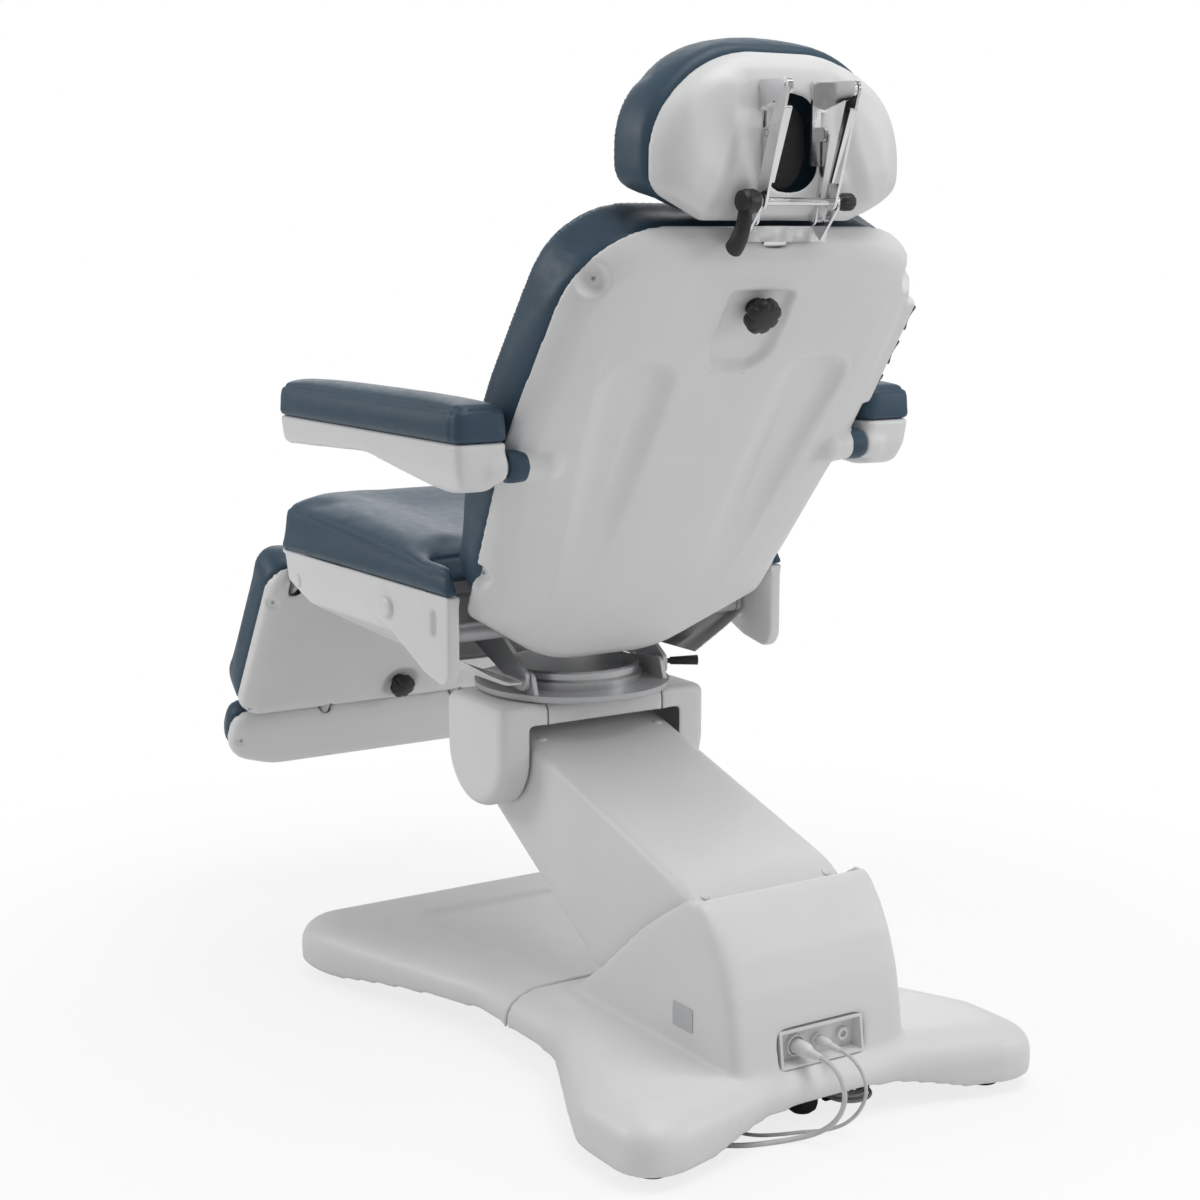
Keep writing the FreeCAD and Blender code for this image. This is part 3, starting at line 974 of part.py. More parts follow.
def build_headrest():
    """Post with cross bar, clamp, arms, links, bracket plates, shell and cushion."""
    post = box(-POST_W / 2, POST_W / 2, POST_FOOT, TBAR_V, POST_Z - POST_T / 2, POST_Z + POST_T / 2)
    post = place(post, BACK)
    bar = box(-71, 71, TBAR_Y, TBAR_Y + 10, TBAR_Z, TBAR_Z + 20)
    lug = side_slab([(TBAR_Y, TBAR_Z + 1, 0), (TBAR_Y + 10, TBAR_Z + 1, 0),
                     (CLAMP_Y + 9, CLAMP_Z - 8, 8), (CLAMP_Y + 9, CLAMP_Z + 9, 8),
                     (CLAMP_Y - 8, CLAMP_Z + 9, 8), (CLAMP_Y - 9, CLAMP_Z - 4, 4),
                     (TBAR_Y + 17, TBAR_Z + 22, 4), (TBAR_Y, TBAR_Z + 20, 0)],
                    HEAD_ARM_X + 8, HEAD_ARM_X + 12)
    foot_pin = rod_x(LINK_FOOT_Y, LINK_FOOT_Z, HEAD_PIN_R, HEAD_ARM_X - 8, HEAD_ARM_X + 9)
    tbar = fuse(post, bar, *both_sides(lug), *both_sides(foot_pin))
    keep("headrest_post", tbar.cut(rod_x(CLAMP_Y, CLAMP_Z, CLAMP_R, -90, 90)))
    keep("clamp_rod", rod_x(CLAMP_Y, CLAMP_Z, CLAMP_R, -HEAD_ARM_X - 26, HEAD_ARM_X + 26))

    arm = hull_plate(CLAMP_Y, CLAMP_Z, 11, HEAD_Y, HEAD_Z, 10, HEAD_ARM_X + 2, HEAD_ARM_X + 6)
    arm = fuse(arm, side_slab([(CLAMP_Y + 9, CLAMP_Z + 24, 2), (CLAMP_Y + 13, CLAMP_Z + 22, 2),
                               (HEAD_Y + 4, HEAD_Z - 26, 2), (HEAD_Y, HEAD_Z - 24, 2)],
                              HEAD_ARM_X - 6, HEAD_ARM_X + 6))
    arm = arm.cut(rod_x(CLAMP_Y, CLAMP_Z, CLAMP_R + RUN, 0, 99))
    arm = arm.cut(rod_x(HEAD_Y, HEAD_Z, HEAD_PIN_R + RUN, 0, 99))
    keep("head_arms", *both_sides(arm))
    link = hull_plate(LINK_FOOT_Y, LINK_FOOT_Z, 8, LINK_HEAD_Y, LINK_HEAD_Z, 8, HEAD_ARM_X - 7,
                      HEAD_ARM_X - 4)
    link = link.cut(rod_x(LINK_FOOT_Y, LINK_FOOT_Z, HEAD_PIN_R + RUN, 0, 99))
    link = link.cut(rod_x(LINK_HEAD_Y, LINK_HEAD_Z, HEAD_PIN_R + 0.8, 0, 99))
    keep("head_links", *both_sides(link))

    seat_y = HEAD_RIM_Y + HEAD_DEPTH
    foot = box(30, HEAD_ARM_X - 9, seat_y, seat_y + 4, HEAD_Z - 96, HEAD_Z + 10)
    head = box(30, HEAD_ARM_X + 1, seat_y, seat_y + 4, HEAD_Z - 28, HEAD_Z + 10)
    ear = side_slab([(seat_y, HEAD_Z - 26, 0), (HEAD_Y + 9, HEAD_Z - 9, 8), (HEAD_Y + 9, HEAD_Z + 9, 8),
                     (seat_y, HEAD_Z + 10, 0)], HEAD_ARM_X - 3, HEAD_ARM_X + 1)
    tab = side_slab([(seat_y, LINK_HEAD_Z - 9, 0), (LINK_HEAD_Y + 8, LINK_HEAD_Z - 9, 6),
                     (LINK_HEAD_Y + 8, LINK_HEAD_Z + 9, 6),
                     (seat_y, LINK_HEAD_Z + 9, 0)], HEAD_ARM_X - 12, HEAD_ARM_X - 9)
    top_pin = rod_x(HEAD_Y, HEAD_Z, HEAD_PIN_R, HEAD_ARM_X - 2, HEAD_ARM_X + 7)
    low_pin = rod_x(LINK_HEAD_Y, LINK_HEAD_Z, HEAD_PIN_R, HEAD_ARM_X - 12, HEAD_ARM_X - 4)
    bracket = fuse(foot, head, ear, tab, top_pin, low_pin)
    keep("headrest_brackets", *both_sides(bracket))

    face = head_corners(0.0)
    shell = stack(face, [(0, 0), (0, -7), (7, 16 - HEAD_DEPTH), (22, 6 - HEAD_DEPTH),
                         (50, -HEAD_DEPTH)])
    shell = shell.cut(stack(face, [(WALL, 1), (WALL, -6), (7 + WALL, 20 - HEAD_DEPTH),
                                   (22 + WALL, 11 - HEAD_DEPTH),
                                   (50 + WALL, WALL - HEAD_DEPTH)]))
    hole = slab([(-HOLE_X, HOLE_AT - HOLE_Z, 38), (HOLE_X, HOLE_AT - HOLE_Z, 38),
                 (HOLE_X, HOLE_AT + HOLE_Z, 38), (-HOLE_X, HOLE_AT + HOLE_Z, 38)], -90, 1)
    shell = place(shell.cut(hole), HEAD)
    for slot in both_sides(box(HEAD_ARM_X - 8.5, HEAD_ARM_X - 2.5, HEAD_RIM_Y + 8, seat_y + 1,
                               HEAD_BOTTOM - 9, LINK_HEAD_Z + 14)):
        shell = shell.cut(slot)
    keep("headrest_shell", shell)
    cushion = stack(head_corners(14.0), [(8, SEAT_CLEAR), (0, 14), (0, HEAD_PAD - 26),
                                         (5, HEAD_PAD - 12), (18, HEAD_PAD - 2),
                                         (44, HEAD_PAD + 4)])
    chin = side_slab([(HEAD_RIM_Y + 1, HEAD_BOTTOM - 60, 0), (HEAD_RIM_Y + 1, HEAD_BOTTOM, 0),
                      (HEAD_RIM_Y - 120, HEAD_BOTTOM + 60, 0),
                      (HEAD_RIM_Y - 120, HEAD_BOTTOM - 60, 0)][::-1], -250, 250)
    keep("headrest_cushion", place(cushion, HEAD).cut(chin))

    hub_x = HEAD_ARM_X + 12.5
    hub = rod_x(CLAMP_Y, CLAMP_Z, 12, hub_x, hub_x + 26)
    handle = hull_plate(CLAMP_Y, CLAMP_Z, 11, CLAMP_Y - 22, CLAMP_Z - 52, 8, hub_x + 10, hub_x + 24)
    keep("clamp_lever", fuse(hub, handle).cut(rod_x(CLAMP_Y, CLAMP_Z, CLAMP_R + RUN, 0, hub_x + 14)))
    knob = star_knob(Vector(-hub_x, CLAMP_Y, CLAMP_Z), Vector(-1, 0, 0), 12.0, 6.0)
    keep("clamp_knob", knob.cut(rod_x(CLAMP_Y, CLAMP_Z, CLAMP_R + RUN, -hub_x - 16, 0)))


# Leads, their plugs and the hand control

MAINS_LIFT = 1.6 + MAINS_D / 2
HAND_LIFT = 1.6 + HAND_D / 2
MAINS_ROUTE = [(MAINS_X, 676, SOCKET_Z), (34, 694, 110), (34, 716, 99), (33, 726, 76), (33, 719, 50),
               (37, 703, 27), (51, 684, 11),
               (76, 668, 4.4), (106, 660, 3.7), (137, 650, 3.7), (163, 632, 3.7), (182, 606, 3.7),
               (190, 574, 4),
               (188, 542, MAINS_LIFT), (188, 512, MAINS_LIFT)]
HAND_ROUTE = [(HAND_X, 668, SOCKET_Z), (-4, 684, 110), (-6, 704, 101), (-9, 716, 82), (-11, 714, 58),
              (-9, 702, 34), (0, 686, 14),
              (20, 670, 4.2), (46, 654, 2.7), (76, 645, 2.7), (104, 632, 2.7), (122, 608, 2.7),
              (122, 579, 2.7), (103, 557, 2.7),
              (76, 546, 2.7), (44, 544, 2.7), (12, 546, 3), (-20, 549, HAND_LIFT),
              (-52, 548, HAND_LIFT), (-80, 548, HAND_LIFT)]


def cord_connector(x, radius, start, middle, end, cord):
    """A round plug in its socket with a tapered, ribbed strain relief."""
    thin = cord / 2 + 1.6
    return turned([(0, 0), (radius, 0), (radius, middle - start - 6), (radius * 0.75, middle - start),
                   (thin + 1, middle - start + 3),
                   (thin, end - start), (0, end - start)], Vector(x, start, SOCKET_Z), Vector(0, 1, 0))


def build_leads():
    """Mains lead with its plug and the hand control with its lead, each with a tied coil."""
    keep("mains_connector", cord_connector(MAINS_X, 10.5, SOCKET_Y + 1, 650, 676, MAINS_D))
    keep("hand_connector", cord_connector(HAND_X, 7.0, SOCKET_Y + 1, 646, 668, HAND_D))
    keep("mains_lead", cord_tube(MAINS_ROUTE, MAINS_D))
    keep("hand_lead", cord_tube(HAND_ROUTE, HAND_D))

    end_x, end_y, _ = MAINS_ROUTE[-1]
    mains_at = Placement(Vector(end_x - MAINS_COIL_R, end_y - MAINS_D, 0), Rotation())
    coil, tip = cord_coil(MAINS_COIL_R, 3, MAINS_D, 4 * MAINS_D)
    keep("mains_coil", place(coil, mains_at))
    relief = turned([(0, 0), (MAINS_D / 2 + 1, 0), (MAINS_D / 2 + 2.5, 22), (0, 22)], tip,
                    Vector(0, -1, 0))
    body = stack([(-16, -12, 6), (16, -12, 6), (16, 12, 6), (-16, 12, 6)],
                 [(5, 20), (1, 26), (0, 56), (3, 62)])
    body = place(body, Placement(tip, Rotation(Vector(1, 0, 0), 90)))
    prongs = [rod_y(tip.x + x, tip.z, 2.4, tip.y - 80, tip.y - 61) for x in (-9.5, 9.5)]
    keep("wall_plug", place(fuse(relief, body, *prongs), mains_at))

    end_x, end_y, _ = HAND_ROUTE[-1]
    hand_at = Placement(Vector(end_x - HAND_D, end_y + HAND_COIL_R, 0), Rotation(Vector(0, 0, 1), -90))
    coil, tip = cord_coil(HAND_COIL_R, 3, HAND_D, 4 * HAND_D)
    keep("hand_coil", place(coil, hand_at))
    relief = turned([(0, 0), (HAND_D / 2 + 1, 0), (HAND_D / 2 + 2, 18), (0, 18)], tip, Vector(0, -1, 0))
    case = stack([(-27, -82, 14), (27, -82, 14), (24, 82, 20), (-24, 82, 20)],
                 [(4, 0), (0, 5), (0, 15), (5, 21)])
    keys = stack([(-20, -70, 6), (20, -70, 6), (18, 62, 6), (-18, 62, 6)], [(0, 19), (1, 22)])
    case = place(fuse(case, keys), Placement(Vector(tip.x, tip.y - 98, 0.5), Rotation()))
    keep("hand_control", place(fuse(relief, case), hand_at))
    ties = [place(t, mains_at) for t in coil_ties(MAINS_COIL_R, 3, MAINS_D)]
    ties += [place(t, hand_at) for t in coil_ties(HAND_COIL_R, 3, HAND_D)]
    keep("cord_ties", *ties)


build_base()
build_arm()
build_knuckle()
build_swivel()
build_seat()
build_back()
build_armrests()
build_leg()
build_headrest()
build_leads()

os.makedirs("parts", exist_ok=True)
for name, shape in PARTS.items():
    shape.exportStep(os.path.join("parts", name + ".step"))
    box_of = shape.BoundBox
    print("%-22s solids %d valid %s volume %8.0f  y %6.0f..%5.0f z %6.0f..%5.0f" % (
        name, len(shape.Solids), shape.isValid(), shape.Volume, box_of.YMin, box_of.YMax, box_of.ZMin,
        box_of.ZMax))
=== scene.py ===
# %% [markdown]
# # An electric treatment table
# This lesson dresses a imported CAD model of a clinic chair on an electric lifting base. The frame
# already holds every rigid piece in metres, so nothing is moved: the script adds leads, padding,
# moulded relief and finishes around it, and each new piece rides on one of the frame's bodies.

# %% Load the frame
import json
import math

import bmesh
import bpy
from mathutils import Matrix, Vector
from mathutils.bvhtree import BVHTree


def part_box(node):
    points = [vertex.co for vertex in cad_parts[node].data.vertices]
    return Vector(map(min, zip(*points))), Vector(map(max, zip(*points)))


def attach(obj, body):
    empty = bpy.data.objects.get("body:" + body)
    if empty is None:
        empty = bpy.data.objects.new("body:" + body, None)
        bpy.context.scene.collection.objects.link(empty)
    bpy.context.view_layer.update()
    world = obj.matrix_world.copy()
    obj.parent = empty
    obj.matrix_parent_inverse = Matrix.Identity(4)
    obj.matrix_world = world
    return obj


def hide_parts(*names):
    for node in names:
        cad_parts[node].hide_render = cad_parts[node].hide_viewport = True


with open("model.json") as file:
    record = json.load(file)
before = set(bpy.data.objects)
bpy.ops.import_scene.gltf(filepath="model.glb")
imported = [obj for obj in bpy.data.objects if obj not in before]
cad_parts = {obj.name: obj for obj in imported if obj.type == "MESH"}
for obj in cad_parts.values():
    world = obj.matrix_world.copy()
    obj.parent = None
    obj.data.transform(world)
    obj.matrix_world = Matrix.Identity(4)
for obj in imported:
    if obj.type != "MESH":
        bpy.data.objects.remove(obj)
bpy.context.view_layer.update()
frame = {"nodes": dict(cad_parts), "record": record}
nodes = frame["nodes"]
RECORD = frame["record"]
scene = bpy.context.scene


def put_in_scene(name, data):
    """A new object that shows the data."""
    thing = bpy.data.objects.new(name, data)
    scene.collection.objects.link(thing)
    return thing


# %% [markdown]
# ## The camera
# The photograph looks at the chair from behind its left side, a little above the seat. A camera
# could be turned by hand until the edges agree. Here its place, heading and drop were worked out
# from known lengths on the base and the back, so the frame and the photograph share one view.

# %% Place the camera
CAMERA_PLACE = Vector((1.7086, 2.7633, 1.180))
CAMERA_AZIMUTH = math.radians(147.5)
CAMERA_DROP = math.radians(9.8)
PHOTO_PIXELS = 1200
FOCAL_PIXELS = 2137
SENSOR = 36.0

towards = Vector((-math.sin(CAMERA_AZIMUTH), math.cos(CAMERA_AZIMUTH), 0)) * math.cos(CAMERA_DROP)
towards.z = -math.sin(CAMERA_DROP)
camera_data = bpy.data.cameras.new("camera")
camera_data.sensor_width = SENSOR
camera_data.lens = SENSOR * FOCAL_PIXELS / PHOTO_PIXELS
camera = put_in_scene("camera", camera_data)
camera.location = CAMERA_PLACE
camera.rotation_euler = towards.to_track_quat("-Z", "Y").to_euler()
scene.camera = camera
print("lens", round(camera_data.lens, 2), "mm")

# %% [markdown]
# ## The leads
# Two pale leads leave the sockets behind the base: a mains lead and the thinner lead of the hand
# control. Each could be a swept mesh, but a NURBS curve with a round bevel stays smooth with few
# points. The points follow the routes of the CAD model. The length that nobody sees is wound into a
# small tied coil under the base: it spirals in, climbs one layer, and spirals out again.

# %% Lay the two leads
MAINS_D = 0.007
HAND_D = 0.005
MAINS_COIL_R = 0.048
HAND_COIL_R = 0.034
COIL_TURNS = 3
COIL_SPACE = 0.0006
POINTS_PER_HALF_TURN = 6

MAINS_ROUTE = [
    (0.034, 0.676, 0.110), (0.034, 0.694, 0.110), (0.034, 0.716, 0.099), (0.033, 0.726, 0.076),
    (0.033, 0.719, 0.050), (0.037, 0.703, 0.027), (0.051, 0.684, 0.011), (0.076, 0.668, 0.0044),
    (0.106, 0.660, 0.0037), (0.137, 0.650, 0.0037), (0.163, 0.632, 0.0037), (0.182, 0.606, 0.0037),
    (0.190, 0.574, 0.0040), (0.188, 0.542, 0.0051), (0.188, 0.512, 0.0051),
]
HAND_ROUTE = [
    (-0.004, 0.668, 0.110), (-0.004, 0.684, 0.110), (-0.006, 0.704, 0.101), (-0.009, 0.716, 0.082),
    (-0.011, 0.714, 0.058), (-0.009, 0.702, 0.034), (0.000, 0.686, 0.014), (0.020, 0.670, 0.0042),
    (0.046, 0.654, 0.0027), (0.076, 0.645, 0.0027), (0.104, 0.632, 0.0027), (0.122, 0.608, 0.0027),
    (0.122, 0.579, 0.0027), (0.103, 0.557, 0.0027), (0.076, 0.546, 0.0027), (0.044, 0.544, 0.0027),
    (0.012, 0.546, 0.0030), (-0.020, 0.549, 0.0041), (-0.052, 0.548, 0.0041), (-0.080, 0.548, 0.0041),
]


def coil_points(start, heading, inwards, outer_r, diameter, tail):
    """Control points of a flat two-layer coil that begins and ends along heading."""
    pitch = diameter + COIL_SPACE
    rings = [outer_r - pitch / 2 * i for i in range(2 * COIL_TURNS)]
    steps = [(r, 0.0) for r in rings]
    steps.append((rings[-1] - pitch / 2, pitch))
    steps.extend((r, 0.0) for r in rings[:0:-1])
    step = math.pi / POINTS_PER_HALF_TURN
    outside = 1 / math.cos(step / 2)
    here = Vector(start)
    points = []
    for radius, climb in steps:
        centre = here + inwards * radius
        for k in range(POINTS_PER_HALF_TURN):
            angle = (k + 0.5) * step
            arm = heading * math.sin(angle) - inwards * math.cos(angle)
            points.append(centre + arm * radius * outside + Vector((0, 0, climb * angle / math.pi)))
        here = centre + inwards * radius + Vector((0, 0, climb))
        heading = -heading
        inwards = -inwards
    points.append(here + heading * tail * 0.5)
    points.append(here + heading * tail)
    return points


def lay_cord(name, points, diameter):
    """A round cord along a smooth NURBS line."""
    curve = bpy.data.curves.new(name, "CURVE")
    curve.dimensions = "3D"
    curve.bevel_depth = 1.0
    curve.bevel_resolution = 3
    curve.resolution_u = 4
    curve.use_fill_caps = True
    spline = curve.splines.new("NURBS")
    spline.points.add(len(points) - 1)
    for point, place in zip(spline.points, points):
        point.co = (*place, 1.0)
        point.radius = diameter / 2
    spline.order_u = 3
    spline.use_endpoint_u = True
    return put_in_scene(name, curve)


mains_start = Vector(MAINS_ROUTE[-1]) + Vector((0, -MAINS_D, 0))
mains_turns = coil_points(mains_start, Vector((0, -1, 0)), Vector((-1, 0, 0)), MAINS_COIL_R, MAINS_D,
                          4 * MAINS_D)
mains_cord = lay_cord("mains_cord", MAINS_ROUTE + mains_turns, MAINS_D)
hand_start = Vector(HAND_ROUTE[-1]) + Vector((-HAND_D, 0, 0))
hand_turns = coil_points(hand_start, Vector((-1, 0, 0)), Vector((0, 1, 0)), HAND_COIL_R, HAND_D,
                         4 * HAND_D)
hand_cord = lay_cord("hand_cord", HAND_ROUTE + hand_turns, HAND_D)
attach(mains_cord, "base")
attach(hand_cord, "base")
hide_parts("mains_lead", "mains_coil")
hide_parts("hand_lead", "hand_coil")
print("cord points", len(MAINS_ROUTE) + len(mains_turns), len(HAND_ROUTE) + len(hand_turns))

# %% [markdown]
# ## Tools for finishes
# Every finish here is a small node tree. The same few nodes come back each time: a noise that
# follows the piece, a ramp that turns it into colour, a range that turns it into roughness, and a
# bump. Wrapping them in short functions keeps each finish readable.

# %% Helpers for node trees


def set_inputs(node, values):
    """Values for the inputs of a node; an underscore stands for a space."""
    for name, value in values.items():
        node.inputs[name.replace("_", " ")].default_value = value


def add_node(tree, kind, settings=None, **values):
    """A new node with its settings and the values of its inputs."""
    node = tree.nodes.new("ShaderNode" + kind)
    for name, value in (settings or {}).items():
        setattr(node, name, value)
    set_inputs(node, values)
    return node


def start_finish(name, **values):
    """A new material, its node tree, its shader with values, and the piece's own coordinates."""
    material = bpy.data.materials.new(name)
    material.use_nodes = True
    tree = material.node_tree
    shader = tree.nodes["Principled BSDF"]
    set_inputs(shader, values)
    coords = add_node(tree, "TexCoord").outputs["Object"]
    return material, tree, shader, coords


def stretch(tree, coords, scale):
    """Coordinates scaled by axis, for marks that run one way."""
    mapping = add_node(tree, "Mapping", Scale=scale)
    tree.links.new(coords, mapping.inputs["Vector"])
    return mapping.outputs["Vector"]


def speckle(tree, coords, scale, detail=3.0):
    """Soft random speckle between 0 and 1."""
    noise = add_node(tree, "TexNoise", Scale=scale, Detail=detail)
    tree.links.new(coords, noise.inputs["Vector"])
    return noise.outputs["Fac"]


def pebble(tree, coords, scale):
    """Distance to the nearest grain edge, for leather and pebbled plastic."""
    cells = add_node(tree, "TexVoronoi", {"feature": "DISTANCE_TO_EDGE"}, Scale=scale)
    tree.links.new(coords, cells.inputs["Vector"])
    return cells.outputs["Distance"]


def tint(tree, value, shader, *stops):
    """Base colour from a value through a ramp of (position, colour) stops."""
    ramp = add_node(tree, "ValToRGB")
    while len(ramp.color_ramp.elements) < len(stops):
        ramp.color_ramp.elements.new(0.5)
    for element, (position, colour) in zip(ramp.color_ramp.elements, stops):
        element.position = position
        element.color = (*colour, 1.0)
    tree.links.new(value, ramp.inputs["Fac"])
    tree.links.new(ramp.outputs["Color"], shader.inputs["Base Color"])


def gloss(tree, value, shader, low, high):
    """Roughness between two numbers, driven by a speckle."""
    span = add_node(tree, "MapRange", From_Min=0.3, From_Max=0.7, To_Min=low, To_Max=high)
    tree.links.new(value, span.inputs["Value"])
    tree.links.new(span.outputs["Result"], shader.inputs["Roughness"])


def relief(tree, shader, *layers):
    """Bumps of (height, depth in metres), each on top of the one before."""
    below = None
    for height, depth in layers:
        bump = add_node(tree, "Bump", Distance=depth)
        tree.links.new(height, bump.inputs["Height"])
        if below is not None:
            tree.links.new(below, bump.inputs["Normal"])
        below = bump.outputs["Normal"]
    tree.links.new(below, shader.inputs["Normal"])


print("finish helpers ready")

# %% [markdown]
# ## Leatherette
# The upholstery is a slate-blue coated cloth. Real coated cloth has a pebbled grain about a
# millimetre across, broad soft waves where the foam pulls it, and a satin gloss that differs a
# little from place to place. Grain, waves and gloss are three separate patterns here.

# %% Slate leatherette


def make_leatherette():
    """Blue coated cloth with grain, soft waves and uneven gloss."""
    material, tree, shader, coords = start_finish(
        "slate_leatherette", Specular_IOR_Level=0.26, Sheen_Weight=0.02, Sheen_Roughness=0.4)
    waves = speckle(tree, coords, 9.0, 2.0)
    tint(tree, waves, shader, (0.25, (0.040, 0.073, 0.106)), (0.75, (0.047, 0.084, 0.120)))
    gloss(tree, speckle(tree, coords, 60.0), shader, 0.36, 0.46)
    grain = pebble(tree, coords, 620.0)
    fine = speckle(tree, coords, 1500.0)
    relief(tree, shader, (waves, 0.0005), (grain, 0.00016), (fine, 0.00005))
    return material


leatherette = make_leatherette()
print("made", leatherette.name)

# %% [markdown]
# ## White mouldings
# The shells and covers are moulded in a white plastic with a fine spark-eroded texture, so they look
# satin and not glossy. Flat white would look like paper, so the colour is mottled very faintly, light
# scuffs change the gloss, and a fine bump stands for the texture of the mould.

# %% White satin plastic


def make_white_moulding():
    """White moulded plastic: fine texture, faint mottling and light scuffs."""
    material, tree, shader, coords = start_finish("white_moulding")
    mottle = speckle(tree, coords, 7.0, 4.0)
    tint(tree, mottle, shader, (0.2, (0.720, 0.722, 0.728)), (0.8, (0.760, 0.762, 0.766)))
    scuffs = speckle(tree, stretch(tree, coords, (40.0, 90.0, 220.0)), 1.0, 5.0)
    gloss(tree, scuffs, shader, 0.38, 0.50)
    relief(tree, shader, (speckle(tree, coords, 900.0, 2.0), 0.00007), (mottle, 0.0004))
    return material


white_moulding = make_white_moulding()
print("made", white_moulding.name)

# %% [markdown]
# ## Metals
# Three metals show. The turntable and the hidden frames are silver powder coat, which has a faint
# orange peel and tiny flakes. The headrest bracket is polished plate with smudges. Pins and rods are
# brushed along their length, which a noise stretched along one axis imitates.

# %% Powder coat, polished plate and brushed steel


def make_powder_coat():
    """Silver powder coat with flakes and orange peel."""
    material, tree, shader, coords = start_finish("silver_powder_coat", Metallic=0.30)
    flakes = speckle(tree, coords, 1200.0, 1.0)
    tint(tree, flakes, shader, (0.3, (0.46, 0.465, 0.475)), (0.7, (0.58, 0.585, 0.595)))
    gloss(tree, speckle(tree, coords, 25.0), shader, 0.36, 0.48)
    relief(tree, shader, (speckle(tree, coords, 260.0, 2.0), 0.00015))
    return material


def make_polished_plate():
    """Polished plated steel with smudges and hair scratches."""
    material, tree, shader, coords = start_finish("polished_plate", Metallic=1.0)
    smudge = speckle(tree, coords, 35.0, 5.0)
    tint(tree, smudge, shader, (0.3, (0.70, 0.705, 0.715)), (0.7, (0.80, 0.80, 0.805)))
    gloss(tree, smudge, shader, 0.10, 0.24)
    hairs = speckle(tree, stretch(tree, coords, (2400.0, 2400.0, 60.0)), 1.0, 2.0)
    relief(tree, shader, (hairs, 0.00002))
    return material


def make_brushed_steel():
    """Bare steel brushed along its length."""
    material, tree, shader, coords = start_finish("brushed_steel", Metallic=1.0)
    lines = speckle(tree, stretch(tree, coords, (30.0, 1500.0, 1500.0)), 1.0, 3.0)
    tint(tree, lines, shader, (0.3, (0.50, 0.505, 0.515)), (0.7, (0.64, 0.645, 0.65)))
    gloss(tree, lines, shader, 0.28, 0.44)
    relief(tree, shader, (lines, 0.00003))
    return material


powder_coat = make_powder_coat()
polished_plate = make_polished_plate()
brushed_steel = make_brushed_steel()
print("made", powder_coat.name, polished_plate.name, brushed_steel.name)

# %% [markdown]
# ## Black plastic, rubber, cord skin and mesh cloth
# Knobs, levers and switches are black glass-filled plastic with a pebbled face. The feet are rubber,
# which is duller and shows dust. The leads have a soft pale skin. Behind the opening of the headrest
# lies a dark woven mesh, which two crossed waves imitate.

# %% Small finishes


def make_speckled(name, scale, detail, dark, light, rough, pattern, depth):
    """A finish with one speckle for colour and gloss, and a bump pattern (function, its values)."""
    material, tree, shader, coords = start_finish(name)
    marks = speckle(tree, coords, scale, detail)
    tint(tree, marks, shader, dark, light)
    gloss(tree, marks, shader, *rough)
    relief(tree, shader, (pattern[0](tree, coords, *pattern[1:]), depth))
    return material


def make_mesh_cloth():
    """Dark woven mesh: two crossed sets of threads."""
    material, tree, shader, coords = start_finish("mesh_cloth", Roughness=0.9)
    threads = []
    for direction in ("X", "Z"):
        wave = add_node(tree, "TexWave", {"bands_direction": direction}, Scale=130.0, Distortion=0.4)
        tree.links.new(coords, wave.inputs["Vector"])
        threads.append(wave.outputs["Fac"])
    cross = add_node(tree, "Math", {"operation": "MULTIPLY"})
    tree.links.new(threads[0], cross.inputs[0])
    tree.links.new(threads[1], cross.inputs[1])
    tint(tree, cross.outputs["Value"], shader, (0.0, (0.018, 0.018, 0.019)), (1.0, (0.085, 0.085, 0.088)))
    relief(tree, shader, (cross.outputs["Value"], 0.0005))
    return material


black_plastic = make_speckled(
    "black_plastic", 80.0, 4.0, (0.3, (0.010, 0.010, 0.011)), (0.75, (0.022, 0.022, 0.024)), (0.36, 0.52),
    (pebble, 900.0), 0.00009)
foot_rubber = make_speckled(
    "foot_rubber", 45.0, 6.0, (0.4, (0.012, 0.012, 0.012)), (0.85, (0.045, 0.044, 0.042)), (0.65, 0.85),
    (speckle, 700.0), 0.00012)
cord_skin = make_speckled(
    "cord_skin", 55.0, 4.0, (0.25, (0.55, 0.55, 0.545)), (0.75, (0.66, 0.66, 0.655)), (0.36, 0.52),
    (speckle, 600.0, 2.0), 0.00005)
mesh_cloth = make_mesh_cloth()
print("made", black_plastic.name, foot_rubber.name, cord_skin.name, mesh_cloth.name)

# %% [markdown]
# ## Dressing the CAD nodes
# The record names a material slot for each node, so a loop can hand the right finish to every rigid
# piece. A CAD mesh is left alone: only its material slot changes.

# %% Give each node its finish
FINISH_OF_SLOT = {
    "upholstery": leatherette, "white_plastic": white_moulding, "grey_steel": powder_coat,
    "bright_steel": polished_plate, "plain_steel": brushed_steel, "black_plastic": black_plastic,
    "dark_rubber": foot_rubber, "pale_cord": cord_skin,
}


def dress(piece, finish):
    """The piece wears one finish."""
    piece.data.materials.clear()
    piece.data.materials.append(finish)


for part in RECORD["subparts"]:
    dress(nodes[part["node"]], FINISH_OF_SLOT[part["material_slot"]])
for cord in (mains_cord, hand_cord):
    dress(cord, cord_skin)
print("dressed", len(RECORD["subparts"]), "nodes")

# %% [markdown]
# ## Tools for pieces
# Each moulded or machined piece starts as a copy of its CAD mesh. That mesh is loose triangles, so the
# copy is merged first. A few small helpers then turn a mesh into an object that rides on the right
# body, takes the right material slot and hides the node that it stands for.

# %% Helpers for pieces
MERGE = 0.00002
HOLD_MARGIN = 0.35
ZONE_MARGIN = 0.8
ZONE_LEAST = 0.08
BODY_OF = {node: body for body, members in RECORD["behaviour"]["bodies"].items() for node in members}
SLOT_OF = {part["node"]: part["material_slot"] for part in RECORD["subparts"]}


